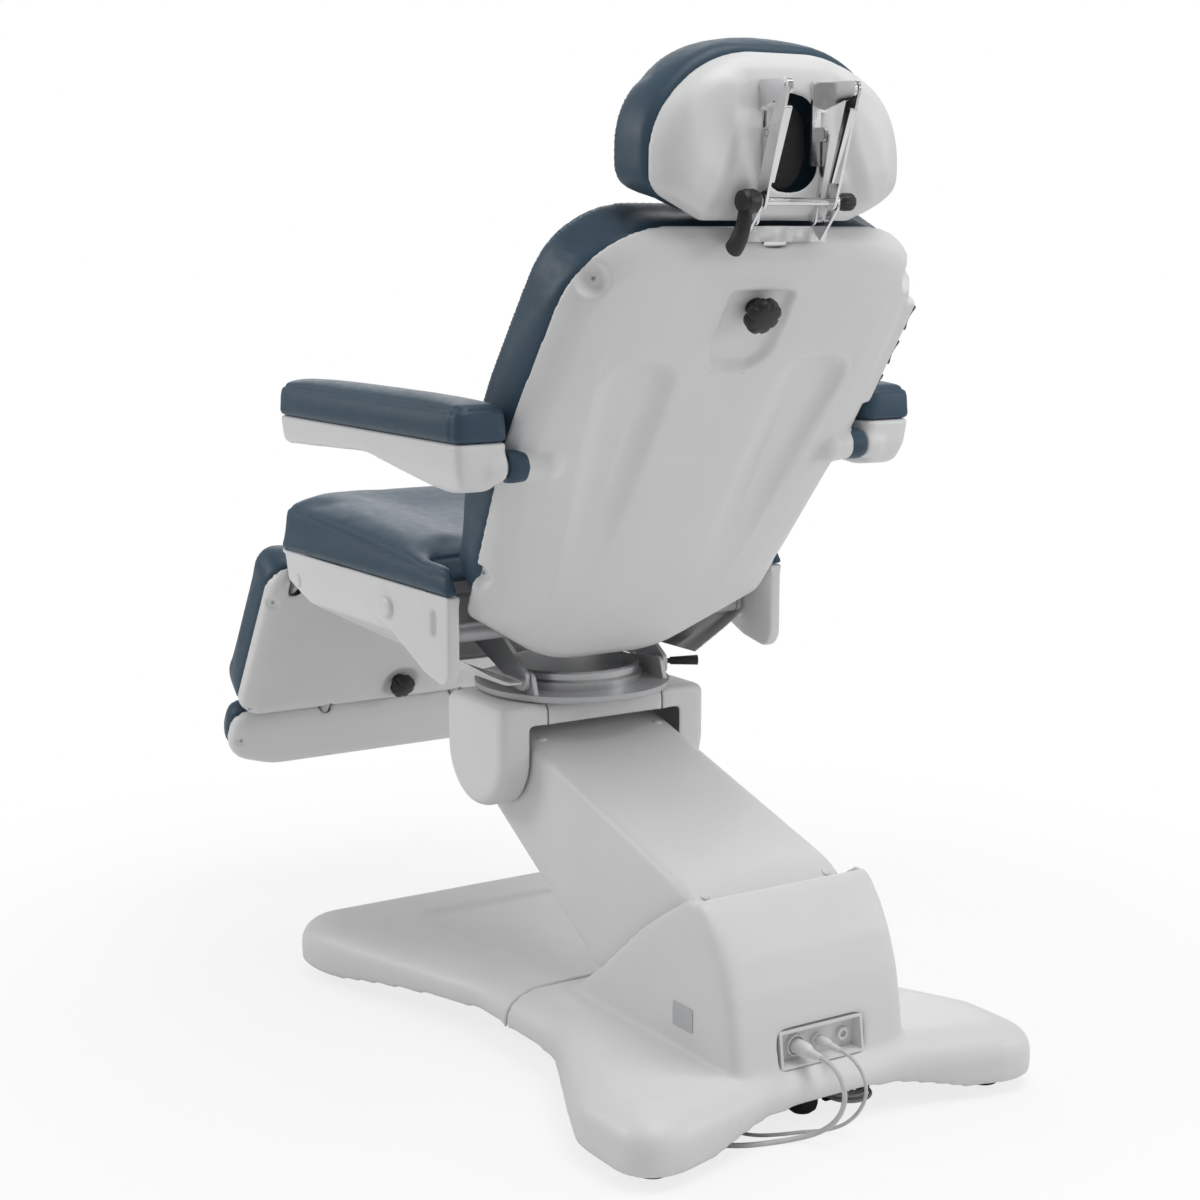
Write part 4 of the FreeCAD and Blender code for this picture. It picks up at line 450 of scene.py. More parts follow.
def add_object(name, mesh, body, slot):
    """A new piece on a body, with the finish of its slot."""
    piece = put_in_scene(name, mesh)
    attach(piece, body)
    dress(piece, FINISH_OF_SLOT[slot])
    return piece


def close_mesh(bm, name):
    """The bmesh as a smooth-shaded mesh with its faces pointing outwards."""
    bmesh.ops.recalc_face_normals(bm, faces=bm.faces)
    mesh = bpy.data.meshes.new(name)
    bm.to_mesh(mesh)
    bm.free()
    mesh.shade_smooth()
    return mesh


def soften(bm, edges, width, steps=4):
    """Round off the edges."""
    bmesh.ops.bevel(bm, geom=edges, offset=width, segments=steps, profile=0.5, affect="EDGES", material=-1)


def merged_copy(node):
    """A bmesh of the node with its triangles joined."""
    bm = bmesh.new()
    bm.from_mesh(nodes[node].data)
    bmesh.ops.remove_doubles(bm, verts=bm.verts, dist=MERGE)
    return bm


def stand_for(node, suffix, bm):
    """A piece made from the bmesh that takes the place of a node."""
    mesh = bpy.data.meshes.new(node + suffix)
    bm.to_mesh(mesh)
    bm.free()
    if "custom_normal" in mesh.attributes:
        mesh.attributes.remove(mesh.attributes["custom_normal"])
    piece = add_object(node + suffix, mesh, BODY_OF[node], SLOT_OF[node])
    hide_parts(node)
    return piece


def settle(piece):
    """Apply the modifiers for good."""
    bpy.context.view_layer.update()
    graph = bpy.context.evaluated_depsgraph_get()
    mesh = bpy.data.meshes.new_from_object(piece.evaluated_get(graph))
    piece.modifiers.clear()
    piece.vertex_groups.clear()
    piece.data = mesh


def even_out(piece, voxel):
    """Give the piece an even grid of small faces."""
    remesh = piece.modifiers.new("even", "REMESH")
    remesh.mode = "VOXEL"
    remesh.voxel_size = voxel
    settle(piece)


def ease(t):
    """0 to 1 with soft ends."""
    t = min(max(t, 0.0), 1.0)
    return t * t * (3 - 2 * t)


def relax(piece, passes, holds=(), zones=()):
    """Round off edges, but not near held planes (normal, level, reach) or in zones (middle, reach)."""
    free = piece.vertex_groups.new(name="free")
    for vertex in piece.data.vertices:
        weight = 1.0
        for normal, level, reach in holds:
            weight = min(weight, ease(abs(vertex.co.dot(normal) - level) / reach - HOLD_MARGIN))
        for middle, reach in zones:
            outside = ease((vertex.co - middle).length / reach - ZONE_MARGIN)
            weight = min(weight, ZONE_LEAST + (1.0 - ZONE_LEAST) * outside)
        if weight > 0:
            free.add([vertex.index], weight, "REPLACE")
    smooth = piece.modifiers.new("relax", "SMOOTH")
    smooth.factor = 0.5
    smooth.iterations = passes
    smooth.vertex_group = free.name
    settle(piece)
    piece.data.shade_smooth()


# %% [markdown]
# ## Moulded shells
# The white covers are blow- or injection-moulded, so nothing on them is sharp: every edge has a broad
# soft round. Bevelling each edge of a loft would be slow and fragile. An even grid that is relaxed a
# few dozen times gives the same rounds everywhere at once. Rims and parting lines are held still, so
# that each cover still meets its neighbour.

# %% Make the moulded shells
X_AXIS = Vector((1, 0, 0))
Y_AXIS = Vector((0, 1, 0))
UP = Vector((0, 0, 1))
BACK_LEAN = math.radians(34.0)
LEG_LEAN = math.radians(31.7)
BACK_FRONT = Vector((0, -math.cos(BACK_LEAN), math.sin(BACK_LEAN)))
BACK_ALONG = Vector((0, math.sin(BACK_LEAN), math.cos(BACK_LEAN)))
LEG_FRONT = Vector((0, -math.cos(LEG_LEAN), math.sin(LEG_LEAN)))
BACK_HINGE = Vector((0, 0.060, 0.600))
LEG_HINGE = Vector((0, -0.440, 0.640))
LEG_ALONG = Vector((0, math.sin(LEG_LEAN), math.cos(LEG_LEAN)))
HEAD_FRONT = Vector((0, -1, 0))
HEAD_RIM = max(-corner.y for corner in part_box("headrest_shell"))
BACK_RIM = BACK_HINGE.dot(BACK_FRONT) - 0.030
LEG_RIM = LEG_HINGE.dot(LEG_FRONT) + 0.017
RIM_REACH = 0.012
BASE_SEAM = (Y_AXIS, 0.200, RIM_REACH)
KNUCKLE_SEAMS = [(X_AXIS, 0.103, 0.008), (X_AXIS, -0.103, 0.008)]
PIN_AT = Vector((0, 0.318, 0.872))
LOBE_X = 0.270
LOBE_END_X = 0.240
LOBE_END_R = 0.0262
KNOB_ZONE = (BACK_HINGE + BACK_ALONG * 0.600 - BACK_FRONT * 0.070, 0.080)
SWITCH_ZONE = (BACK_HINGE + BACK_ALONG * 0.530 - BACK_FRONT * 0.046 - X_AXIS * 0.285, 0.100)
LOBE_ZONES = [(PIN_AT + X_AXIS * side * LOBE_X, 0.034) for side in (1, -1)]
BACK_ZONES = [KNOB_ZONE, SWITCH_ZONE] + LOBE_ZONES
MOULDINGS = [
    ("back_shell", 0.0024, 66, [(BACK_FRONT, BACK_RIM, RIM_REACH)], BACK_ZONES),
    ("headrest_shell", 0.0030, 24, [(HEAD_FRONT, HEAD_RIM, RIM_REACH)], []),
    ("seat_shell", 0.0022, 36, [(UP, 0.670, RIM_REACH)], []),
    ("leg_shell", 0.0036, 16, [(LEG_FRONT, LEG_RIM, RIM_REACH)], []),
    ("foot_shell", 0.0034, 16, [(LEG_FRONT, LEG_RIM, RIM_REACH)], []),
    ("armrest_left_shell", 0.0035, 22, [(UP, 0.906, RIM_REACH)], []),
    ("armrest_right_shell", 0.0035, 22, [(UP, 0.906, RIM_REACH)], []),
    ("base_front_cover", 0.0045, 18, [BASE_SEAM], []),
    ("base_rear_cover", 0.0045, 18, [BASE_SEAM], []),
    ("arm_cover", 0.0042, 12, [], []),
    ("knuckle_centre_cover", 0.0028, 5, KNUCKLE_SEAMS, []),
    ("knuckle_cheek_left", 0.0028, 10, KNUCKLE_SEAMS, []),
    ("knuckle_cheek_right", 0.0028, 10, KNUCKLE_SEAMS, []),
]
RIM_PASSES = 4
FINE_VOXEL = 0.0025
FINE_SHARE = 0.35


def thin_out(piece, share):
    """Leave only a share of the faces of a fine grid."""
    fewer = piece.modifiers.new("fewer", "DECIMATE")
    fewer.ratio = share
    settle(piece)
    piece.data.shade_smooth()


def round_lobes(bm):
    """Round inner ends for the lobes that carry the armrest pins."""
    for side in (1, -1):
        end = Matrix.Translation(PIN_AT + X_AXIS * side * LOBE_END_X)
        bmesh.ops.create_uvsphere(bm, u_segments=32, v_segments=16, radius=LOBE_END_R, matrix=end)


mouldings = {}
for node, voxel, passes, holds, zones in MOULDINGS:
    loose = merged_copy(node)
    if node == "back_shell":
        round_lobes(loose)
    moulding = stand_for(node, "_moulding", loose)
    even_out(moulding, voxel)
    relax(moulding, passes, holds, zones)
    relax(moulding, RIM_PASSES)
    if voxel < FINE_VOXEL:
        thin_out(moulding, FINE_SHARE)
    mouldings[node] = moulding
print("mouldings", len(mouldings), "faces", sum(len(m.data.polygons) for m in mouldings.values()))

# %% [markdown]
# ## Relief on the shells
# Three kinds of relief follow after the shells are rounded. The two scoops of the back run out downwards,
# lobes rise on both sides of the headrest shell, and dimples are pressed where screws sit. A dimple moves
# the points of both walls inwards together, so the wall keeps its thickness. The photograph gives the
# places: a ray through a point of the picture finds the spot on the shell, and the mirror image gets the
# same.

# %% Press lobes and dimples
LOBE_RISE = 0.009
LOBE_FROM = 0.066
LOBE_TO = 0.100
LOBE_EDGE = 0.045
RIM_LIP = 0.012
CHANNEL_TOP = 0.080
CHANNEL_RUN = 0.140
CHANNEL_SPREAD = 0.045
SCOOP_LEVEL = 0.074
SCOOP_DEPTH = 0.009
SCOOP_INNER_X = 0.080
SCOOP_OUTER_X = 0.15327
SCOOP_WIDENS = 0.146
SCOOP_ENDS = (0.115, 0.550)
SCOOP_FADE = (0.130, 0.300)
SCOOP_LOW = 0.1
SCOOP_GAIN = 1.5
WALL_REACH = 0.010
PRESS_REACH = 0.020


def photo_ray(px, py):
    """Direction from the camera through a point of the 1200-pixel picture."""
    right = towards.cross(UP).normalized()
    upwards = right.cross(towards)
    half = PHOTO_PIXELS / 2
    return (towards * FOCAL_PIXELS + right * (px - half) + upwards * (half - py)).normalized()


def picture_spot(piece, px, py):
    """Where the ray through a point of the picture first meets the piece, and the normal there."""
    bm = bmesh.new()
    bm.from_mesh(piece.data)
    tree = BVHTree.FromBMesh(bm)
    bm.free()
    place, normal, _, _ = tree.ray_cast(CAMERA_PLACE, photo_ray(px, py))
    return place, normal


def flip(vector):
    """The same on the other side of the middle plane."""
    return Vector((-vector.x, vector.y, vector.z))


def dimple(piece, place, normal, flat, radius, depth):
    """Press a round dimple with a flat floor into both walls."""
    for vertex in piece.data.vertices:
        offset = vertex.co - place
        height = offset.dot(normal)
        if abs(height) < PRESS_REACH:
            across = (offset - normal * height).length
            if across < radius:
                vertex.co -= normal * depth * ease((radius - across) / (radius - flat))


def fade_scoops(piece):
    """Deepen the two scoops of the back near their tops and let them run out downwards."""
    for vertex in piece.data.vertices:
        offset = vertex.co - BACK_HINGE
        along = offset.dot(BACK_ALONG)
        depth = offset.dot(BACK_FRONT) + SCOOP_LEVEL
        outer = SCOOP_OUTER_X + (along - SCOOP_ENDS[0]) * SCOOP_WIDENS
        in_scoop = SCOOP_INNER_X < abs(offset.x) < outer and SCOOP_ENDS[0] < along < SCOOP_ENDS[1]
        if in_scoop and depth < SCOOP_DEPTH + WALL_REACH:
            share = SCOOP_LOW + SCOOP_GAIN * ease((along - SCOOP_FADE[0]) / SCOOP_FADE[1])
            vertex.co += BACK_FRONT * (share - 1.0) * min(max(depth, 0.0), SCOOP_DEPTH)


fade_scoops(mouldings["back_shell"])
relax(mouldings["back_shell"], RIM_PASSES)

head_low, head_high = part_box("headrest_shell")
for vertex in mouldings["headrest_shell"].data.vertices:
    inside = min(head_high.z - vertex.co.z, vertex.co.z - head_low.z + LOBE_EDGE / 2,
                 head_high.x - abs(vertex.co.x))
    widened = CHANNEL_SPREAD * ease((head_high.z - vertex.co.z - CHANNEL_TOP) / CHANNEL_RUN)
    outwards = (abs(vertex.co.x) - LOBE_FROM - widened) / (LOBE_TO - LOBE_FROM)
    if vertex.co.y > head_low.y + RIM_LIP:
        vertex.co.y += LOBE_RISE * ease(outwards) * ease(inside / LOBE_EDGE)

SCREW_SPOTS = [
    ("back_shell", 591, 279, 0.008, 0.027, 0.0150), ("back_shell", 479, 577, 0.008, 0.024, 0.0130),
    ("leg_shell", 272, 604, 0.006, 0.014, 0.0045), ("leg_shell", 249, 711, 0.006, 0.014, 0.0045),
    ("foot_shell", 241, 742, 0.006, 0.011, 0.0035), ("foot_shell", 268, 770, 0.006, 0.011, 0.0035),
    ("knuckle_cheek_left", 541, 726, 0.004, 0.006, 0.0008),
]
OTHER_SIDE = {"knuckle_cheek_left": "knuckle_cheek_right"}
screw_places = []
for node, px, py, flat, radius, depth in SCREW_SPOTS:
    spot, facing = picture_spot(mouldings[node], px, py)
    if spot is None:
        print("no spot for", node, px, py)
        continue
    twin = OTHER_SIDE.get(node, node)
    for name, place, normal in ((node, spot, facing), (twin, flip(spot), flip(facing))):
        dimple(mouldings[name], place, normal, flat, radius, depth)
        screw_places.append((BODY_OF[name], place - normal * depth, normal))
print("dimples", len(screw_places))

# %% [markdown]
# ## Screws and caps
# Small pan-head screws hold the shells, and low round caps close the screw holes of the lift arm and the
# seat shell. A screw is a short profile spun about its axis. Its two crossed slots are not cut: a black
# cross on the head is painted shade for them. All screws of one body share one mesh.

# %% Drive the screws
SCREW_R = 0.0034
SCREW_PROFILE = [(0.0, 0.55), (0.55, 0.50), (0.88, 0.34), (1.0, 0.05), (1.0, -0.6)]
CAP_PROFILE = [(0.0, 0.30), (0.70, 0.26), (0.95, 0.12), (1.0, -0.3)]
CAPS = [
    ("arm_cover", 542, 739, 0.0075), ("arm_cover", 676, 718, 0.0075), ("arm_cover", 826, 872, 0.0075),
    ("seat_shell", 386, 607, 0.0170), ("seat_shell", 298, 580, 0.0110),
]
FLUTE_FROM = 0.70
FLUTE_DEPTH = 0.13


def spin_profile(bm, profile, radius, place, normal, steps, flutes=0):
    """A round piece from (radius, height) steps, standing on the surface, with pressed flutes."""
    before = set(bm.verts)
    line = [bm.verts.new((r * radius, 0.0, h * radius)) for r, h in profile]
    edges = [bm.edges.new(pair) for pair in zip(line, line[1:])]
    bmesh.ops.spin(bm, geom=line + edges, cent=(0, 0, 0), axis=(0, 0, 1), angle=2 * math.pi,
                   steps=steps, use_merge=True)
    made = [vertex for vertex in bm.verts if vertex not in before]
    bmesh.ops.remove_doubles(bm, verts=made, dist=0.000001)
    made = [vertex for vertex in bm.verts if vertex not in before]
    for vertex in made:
        if flutes and math.hypot(vertex.co.x, vertex.co.y) > radius * FLUTE_FROM:
            wave = max(math.cos(flutes * math.atan2(vertex.co.y, vertex.co.x)), 0.0)
            vertex.co.xy *= 1.0 - FLUTE_DEPTH * wave ** 1.5
    stand = Matrix.Translation(place) @ normal.to_track_quat("Z", "Y").to_matrix().to_4x4()
    bmesh.ops.transform(bm, matrix=stand, verts=made)


def slot_shade_cross(bm, place, normal):
    """A black cross on a screw head, painted shade for its two slots."""
    stand = Matrix.Translation(place) @ normal.to_track_quat("Z", "Y").to_matrix().to_4x4()
    for quarter in (0.0, math.pi / 2):
        bar = Matrix.Rotation(quarter, 4, "Z") @ Matrix.Translation((0, 0, SCREW_R * 0.52))
        size = Matrix.Diagonal((SCREW_R * 1.1, SCREW_R * 0.24, SCREW_R * 0.10, 1))
        bmesh.ops.create_cube(bm, size=1.0, matrix=stand @ bar @ size)


for body in sorted({body for body, _, _ in screw_places}):
    heads = bmesh.new()
    # The black crosses on the heads are painted shade for the screw slots, not cut recesses.
    slot_shades = bmesh.new()
    for _, place, normal in [spot for spot in screw_places if spot[0] == body]:
        spin_profile(heads, SCREW_PROFILE, SCREW_R, place, normal, 18)
        slot_shade_cross(slot_shades, place, normal)
    add_object(body + "_screws", close_mesh(heads, body + "_screws"), body, "plain_steel")
    add_object(body + "_painted_slot_shade", close_mesh(slot_shades, body + "_painted_slot_shade"), body, "black_plastic")

for node in ("arm_cover", "seat_shell"):
    caps = bmesh.new()
    for _, px, py, radius in [cap for cap in CAPS if cap[0] == node]:
        spot, facing = picture_spot(mouldings[node], px, py)
        if spot is not None:
            spin_profile(caps, CAP_PROFILE, radius, spot, facing, 32)
            spin_profile(caps, CAP_PROFILE, radius, flip(spot), flip(facing), 32)
    add_object(node + "_caps", close_mesh(caps, node + "_caps"), BODY_OF[node], "white_plastic")
print("screws", len(screw_places), "caps", 2 * len(CAPS))

# %% [markdown]
# ## Machined and small moulded pieces
# Brackets, pins, knobs, sockets and the turntable keep their exact CAD shape, because they are crisp on
# the real thing too. Their copies are only merged and shaded: faces that meet at a small angle are
# smoothed into one curve, and real edges stay sharp.

# %% Refine the crisp pieces
SHARP_FROM = math.radians(32.0)
CRISP = [
    "turntable", "swivel_drum", "swivel_lever", "swivel_spindle", "headrest_post", "clamp_rod",
    "head_arms", "head_links", "headrest_brackets", "feet", "connector_panel",
    "mains_connector", "hand_connector", "wall_plug", "hand_control", "cord_ties", "rocker_switch_1",
    "rocker_switch_2", "rocker_switch_3", "seat_frame", "back_frame", "leg_frame", "foot_frame", "lift_arm",
]
for node in CRISP:
    crisp = stand_for(node, "_crisp", merged_copy(node))
    crisp.data.shade_smooth()
    crisp.data.set_sharp_from_angle(angle=SHARP_FROM)
print("crisp pieces", len(CRISP))

# %% [markdown]
# ## Hand knobs
# Three black knobs lock the headrest post, the foot section and the headrest clamp. Each has a slim
# skirt and a crowned head with eight flutes for the fingers. The head is a spun profile whose rim is
# pressed in along eight waves, which is simpler than cutting eight grooves.

# %% Spin the knobs
HEAD_RISE = 0.022
clamp_at = sum(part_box("clamp_rod"), Vector()) / 2
KNOBS = [
    ("back_knob", BACK_HINGE + BACK_ALONG * 0.624 - BACK_FRONT * 0.0542, -BACK_FRONT, 0.0265, 0.009, 0.021),
    ("leg_knob", LEG_HINGE - LEG_ALONG * 0.292 + LEG_FRONT * 0.007, -LEG_FRONT, 0.0225, 0.011, 0.019),
    ("clamp_knob", Vector((-0.0645, clamp_at.y, clamp_at.z)), -X_AXIS, 0.012, 0.0, 0.006),
]
for node, base, axis, radius, skirt, head in KNOBS:
    top = head + HEAD_RISE
    steps = [(0.0, top + 0.001), (0.50, top + 0.0008), (0.80, top - 0.0015), (0.96, top - 0.005),
             (1.0, top - 0.011), (0.97, head + 0.005), (0.80, head + 0.001), (0.62, head),
             (0.52, head - 0.003), (0.50, skirt), (0.0, skirt)]
    knob = bmesh.new()
    spin_profile(knob, [(r, h / radius) for r, h in steps], radius, base, axis, 96, 8)
    piece = add_object(node + "_fluted", close_mesh(knob, node + "_fluted"), BODY_OF[node], SLOT_OF[node])
    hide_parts(node)
print("knobs", len(KNOBS))

# %% [markdown]
# ## The clamp lever
# A black hand lever beside the headrest bracket locks its tilt. It has a round hub and a thick grip
# that curves down and widens. The grip is an oval section spun through part of a turn, and the hub is
# a spun profile.

# %% Shape the clamp lever
lever_low, lever_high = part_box("clamp_lever")
LEVER_END = Vector((0, -0.027, -0.062))
LEVER_BOW = 0.009
GRIP_HALF_W = 0.0085
GRIP_HALF_T = 0.0115
HUB_PROFILE = [(0.0, 1.72), (0.62, 1.70), (0.86, 1.55), (0.92, 1.2), (1.0, 1.1), (1.0, 0.35), (0.85, 0.0),
               (0.0, 0.0)]
HUB_R = 0.0155


def bent_grip(bm, start, end, bow):
    """An oval bar along an arc in the side plane, wider at its end."""
    chord = end - start
    rearward = chord.cross(X_AXIS).normalized()
    if rearward.y < 0:
        rearward = -rearward
    radius = (chord.length_squared / 4 + bow * bow) / (2 * bow)
    centre = (start + end) / 2 - rearward * (radius - bow)
    sweep = 2 * math.asin(chord.length / 2 / radius)
    spoke = (start - centre).normalized()
    section = Matrix.Translation(start) @ Matrix((X_AXIS, spoke, X_AXIS.cross(spoke))).transposed().to_4x4()
    ring = bmesh.ops.create_circle(bm, segments=20, radius=1.0, matrix=section @ Matrix.Diagonal(
        (GRIP_HALF_W, GRIP_HALF_T * 0.8, 1, 1)))["verts"]
    edges = list({edge for vertex in ring for edge in vertex.link_edges})
    turn = 1.0 if X_AXIS.cross(spoke).dot(chord) > 0 else -1.0
    bmesh.ops.spin(bm, geom=ring + edges, cent=centre, axis=X_AXIS, angle=turn * sweep, steps=18)
    rims = [edge for edge in bm.edges if edge.is_boundary]
    caps = bmesh.ops.holes_fill(bm, edges=rims, sides=0)["faces"]
    tips = list({edge for face in caps for edge in face.edges})
    soften(bm, tips, 0.005)
    for vertex in bm.verts:
        along = (vertex.co - start).dot(chord) / chord.length_squared
        outwards = vertex.co - centre
        middle = centre + outwards.normalized() * radius
        middle.x = start.x
        vertex.co = middle + (vertex.co - middle) * (1.0 + 0.35 * ease(along))


lever = bmesh.new()
lever_x = (lever_low.x + lever_high.x) / 2 + 0.004
pivot = Vector((lever_x, clamp_at.y, clamp_at.z))
bent_grip(lever, pivot, pivot + LEVER_END, LEVER_BOW)
spin_profile(lever, HUB_PROFILE, HUB_R, Vector((lever_low.x, clamp_at.y, clamp_at.z)), X_AXIS, 32)
lever_mesh = close_mesh(lever, "clamp_lever_bent")
clamp_lever = add_object("clamp_lever_bent", lever_mesh, BODY_OF["clamp_lever"], "black_plastic")
clamp_lever.data.set_sharp_from_angle(angle=SHARP_FROM)
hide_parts("clamp_lever")
print("lever faces", len(clamp_lever.data.polygons))

# %% [markdown]
# ## Padded pieces
# Seven cushions carry the sitter: seat, back, headrest, two armrests, leg rest and foot end. Each is
# foam in a sewn cover, so its faces swell and its edges draw in. Moving points by hand could give
# that, but a short cloth simulation with inner pressure does it as the real cover does. The CAD solid
# is copied, drawn in a little, remeshed, blown up for twenty frames, and held flat where it rests.

# %% The swelling of a cushion
REST_BAND = 0.012
LOW_END = 0.13
LOW_FADE = 0.12
PRESSURE = 4.0
LAST_FRAME = 20


def swell(piece, crown, rest_level, cap):
    """Blow the piece up like foam in a cover; no point moves further than cap."""
    pinned = piece.vertex_groups.new(name="rests")
    for vertex in piece.data.vertices:
        if vertex.co.dot(crown) < rest_level + REST_BAND:
            pinned.add([vertex.index], 1.0, "REPLACE")
    start = [vertex.co.copy() for vertex in piece.data.vertices]
    cloth = piece.modifiers.new("foam", "CLOTH")
    cloth.settings.use_pressure = True
    cloth.settings.uniform_pressure_force = PRESSURE
    cloth.settings.effector_weights.gravity = 0.0
    cloth.settings.vertex_group_mass = pinned.name
    cloth.settings.quality = 4
    for number in range(1, LAST_FRAME + 1):
        scene.frame_set(number)
    settle(piece)
    scene.frame_set(1)
    for vertex, before in zip(piece.data.vertices, start):
        move = vertex.co - before
        if move.length > cap:
            vertex.co = before + move * (cap / move.length)


def fill_out(piece, crown, rest_level, grow):
    """Let the cover stand further out with height; the back's low end stays, to clear the seat."""
    top = max(vertex.co.dot(crown) for vertex in piece.data.vertices)
    for vertex in piece.data.vertices:
        height = (vertex.co.dot(crown) - rest_level) / (top - rest_level)
        low_end = ease(((vertex.co - BACK_HINGE).dot(BACK_ALONG) - LOW_END) / LOW_FADE)
        vertex.co += grow * height * (low_end if crown == BACK_FRONT else 1.0)


def upholster(node, crown, voxel, draw_in, cap, passes, grow):
    """A cushion in the space of a CAD solid, drawn in, filled out and then swollen."""
    piece = stand_for(node, "_cover", merged_copy(node))
    rest_level = min(vertex.co.dot(crown) for vertex in piece.data.vertices)
    rest = [(crown, rest_level, REST_BAND)]
    even_out(piece, voxel)
    relax(piece, passes, rest)
    for vertex in piece.data.vertices:
        if vertex.co.dot(crown) > rest_level + REST_BAND:
            vertex.co -= vertex.normal * draw_in
    fill_out(piece, crown, rest_level, grow)
    swell(piece, crown, rest_level, cap)
    relax(piece, passes // 2, rest)
    relax(piece, RIM_PASSES)
    return piece


print("cushions blow up with pressure", PRESSURE)

# %% [markdown]
# ## Seams
# Each cover is sewn from a front panel and a side band, and the seam between them shows as a fine
# groove with a row of stitches beside it. Cutting the mesh with a plane gives a ring of points just
# where the seam runs, so the groove is that ring pushed in, and the stitches follow a second ring.

# %% Grooves and stitches
GROOVE_DEPTH = 0.0022
GROOVE_REACH = 0.006
STITCH_STEP = 0.006
STITCH_LENGTH = 0.0036
STITCH_WIDTH = 0.0009
STITCH_OFFSET = 0.005


def cut_ring(bm, place, normal):
    """Cut the mesh with a plane and return the new edges."""
    geometry = bm.verts[:] + bm.edges[:] + bm.faces[:]
    cut = bmesh.ops.bisect_plane(bm, geom=geometry, dist=0.0002, plane_co=place, plane_no=normal)
    return [part for part in cut["geom_cut"] if isinstance(part, bmesh.types.BMEdge)]


def sew(piece, place, normal, side=None):
    """A sewn groove where the plane meets the cover, or only where the cover faces one side."""
    bm = bmesh.new()
    bm.from_mesh(piece.data)
    cut_ring(bm, place, normal)
    bm.normal_update()
    for vertex in bm.verts:
        off = abs((vertex.co - place).dot(normal))
        if off < GROOVE_REACH and (side is None or vertex.normal.dot(side) > 0.5):
            vertex.co -= vertex.normal * GROOVE_DEPTH * (1 - off / GROOVE_REACH) ** 2
    bm.to_mesh(piece.data)
    bm.free()
    piece.data.shade_smooth()


def stitch_row(name, piece, body, place, normal):
    """Thread stitches on the cover along the ring where the plane meets it."""
    ring = bmesh.new()
    ring.from_mesh(piece.data)
    edges = cut_ring(ring, place, normal)
    ring.normal_update()
    row = bmesh.new()
    travelled = 0.0
    edge = edges[0]
    vertex = edge.verts[0]
    left = set(edges)
    while edge is not None:
        left.discard(edge)
        after = edge.other_vert(vertex)
        travelled += edge.calc_length()
        if travelled > STITCH_STEP:
            travelled = 0.0
            along = (after.co - vertex.co).normalized()
            out = after.normal
            turn = Matrix((along, out.cross(along).normalized(), out)).transposed().to_4x4()
            shape = Matrix.Diagonal((STITCH_LENGTH / 2, STITCH_WIDTH / 2, STITCH_WIDTH / 2, 1))
            at = Matrix.Translation(after.co)
            bmesh.ops.create_uvsphere(row, u_segments=6, v_segments=4, radius=1.0, matrix=at @ turn @ shape)
        vertex = after
        edge = next((e for e in vertex.link_edges if e in left), None)
    ring.free()
    add_object(name, close_mesh(row, name), body, "upholstery")


print("seam", GROOVE_DEPTH, "deep, stitches every", STITCH_STEP)

# %% [markdown]
# ## The seven cushions
# The large pads use a coarser grid than the small ones, because their curves are broader and the
# simulation has to stay quick. Every seam lies a little below the crown, where the band meets the panel.
# The seat is dished between two side bolsters, and its top falls four degrees towards the back. The
# last value of a row says how far the full cover stands out beyond the CAD solid, and which way.

# %% Make the cushions
SEAT_TOP = Vector((0, math.sin(math.radians(4.0)), math.cos(math.radians(4.0))))
HEAD_GROW = Vector((0, -0.012, 0.013))
PADS = [
    ("seat_cushion", UP, SEAT_TOP, 0.0060, 0.003, 0.009, 44, 0.028, Vector((0, -0.016, 0.006))),
    ("back_cushion", BACK_FRONT, BACK_FRONT, 0.0060, 0.001, 0.008, 10, 0.030, BACK_FRONT * 0.026),
    ("headrest_cushion", HEAD_FRONT, HEAD_FRONT, 0.0050, 0.001, 0.007, 10, 0.026, HEAD_GROW),
    ("armrest_left_pad", UP, UP, 0.0045, 0.001, 0.005, 22, 0.014, UP * 0.002),
    ("armrest_right_pad", UP, UP, 0.0045, 0.001, 0.005, 22, 0.014, UP * 0.002),
    ("leg_cushion", LEG_FRONT, LEG_FRONT, 0.0060, 0.001, 0.007, 10, 0.024, LEG_FRONT * 0.020),
    ("foot_cushion", LEG_FRONT, LEG_FRONT, 0.0050, 0.001, 0.005, 8, 0.014, LEG_FRONT * 0.012),
]
DISH_DEPTH = 0.016
DISH_HALF_W = 0.215
BOLSTER_W = 0.11
DISH_FRONT = 0.03
DISH_RUN = 0.16
DISH_FOOT = 0.03
ARM_SEAM_INSET = 0.020


def dish_seat(piece):
    """Press the middle of the seat down between its side bolsters."""
    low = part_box("seat_cushion")[0]
    for vertex in piece.data.vertices:
        across = ease((DISH_HALF_W - abs(vertex.co.x)) / BOLSTER_W)
        along = ease((vertex.co.y - low.y - DISH_FRONT) / DISH_RUN)
        lift = ease((vertex.co.z - low.z - DISH_FOOT) / DISH_FOOT)
        vertex.co.z -= DISH_DEPTH * across * along * lift


cushions = {}
for node, crown, panel, voxel, draw_in, cap, passes, seam_drop, grow in PADS:
    cover = upholster(node, crown, voxel, draw_in, cap, passes, grow)
    panel_level = max(vertex.co.dot(panel) for vertex in cover.data.vertices)
    if node == "seat_cushion":
        dish_seat(cover)
    seam_place = panel * (panel_level - seam_drop)
    sew(cover, seam_place, panel)
    stitch_row(node + "_stitches", cover, BODY_OF[node], seam_place - panel * STITCH_OFFSET, panel)
    cushions[node] = cover
for name, side in (("armrest_left_pad", X_AXIS), ("armrest_right_pad", -X_AXIS)):
    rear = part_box(name)[1].y - ARM_SEAM_INSET
    sew(cushions[name], Vector((0, rear, 0)), Y_AXIS, side)
print("cushions", len(cushions), "faces", sum(len(c.data.polygons) for c in cushions.values()))

# %% [markdown]
# ## The opening of the headrest
# The headrest has an oval opening for the face. A plug covered with dark mesh closes it. It is a
# disc, stretched to an oval, given its thickness and a rounded edge.

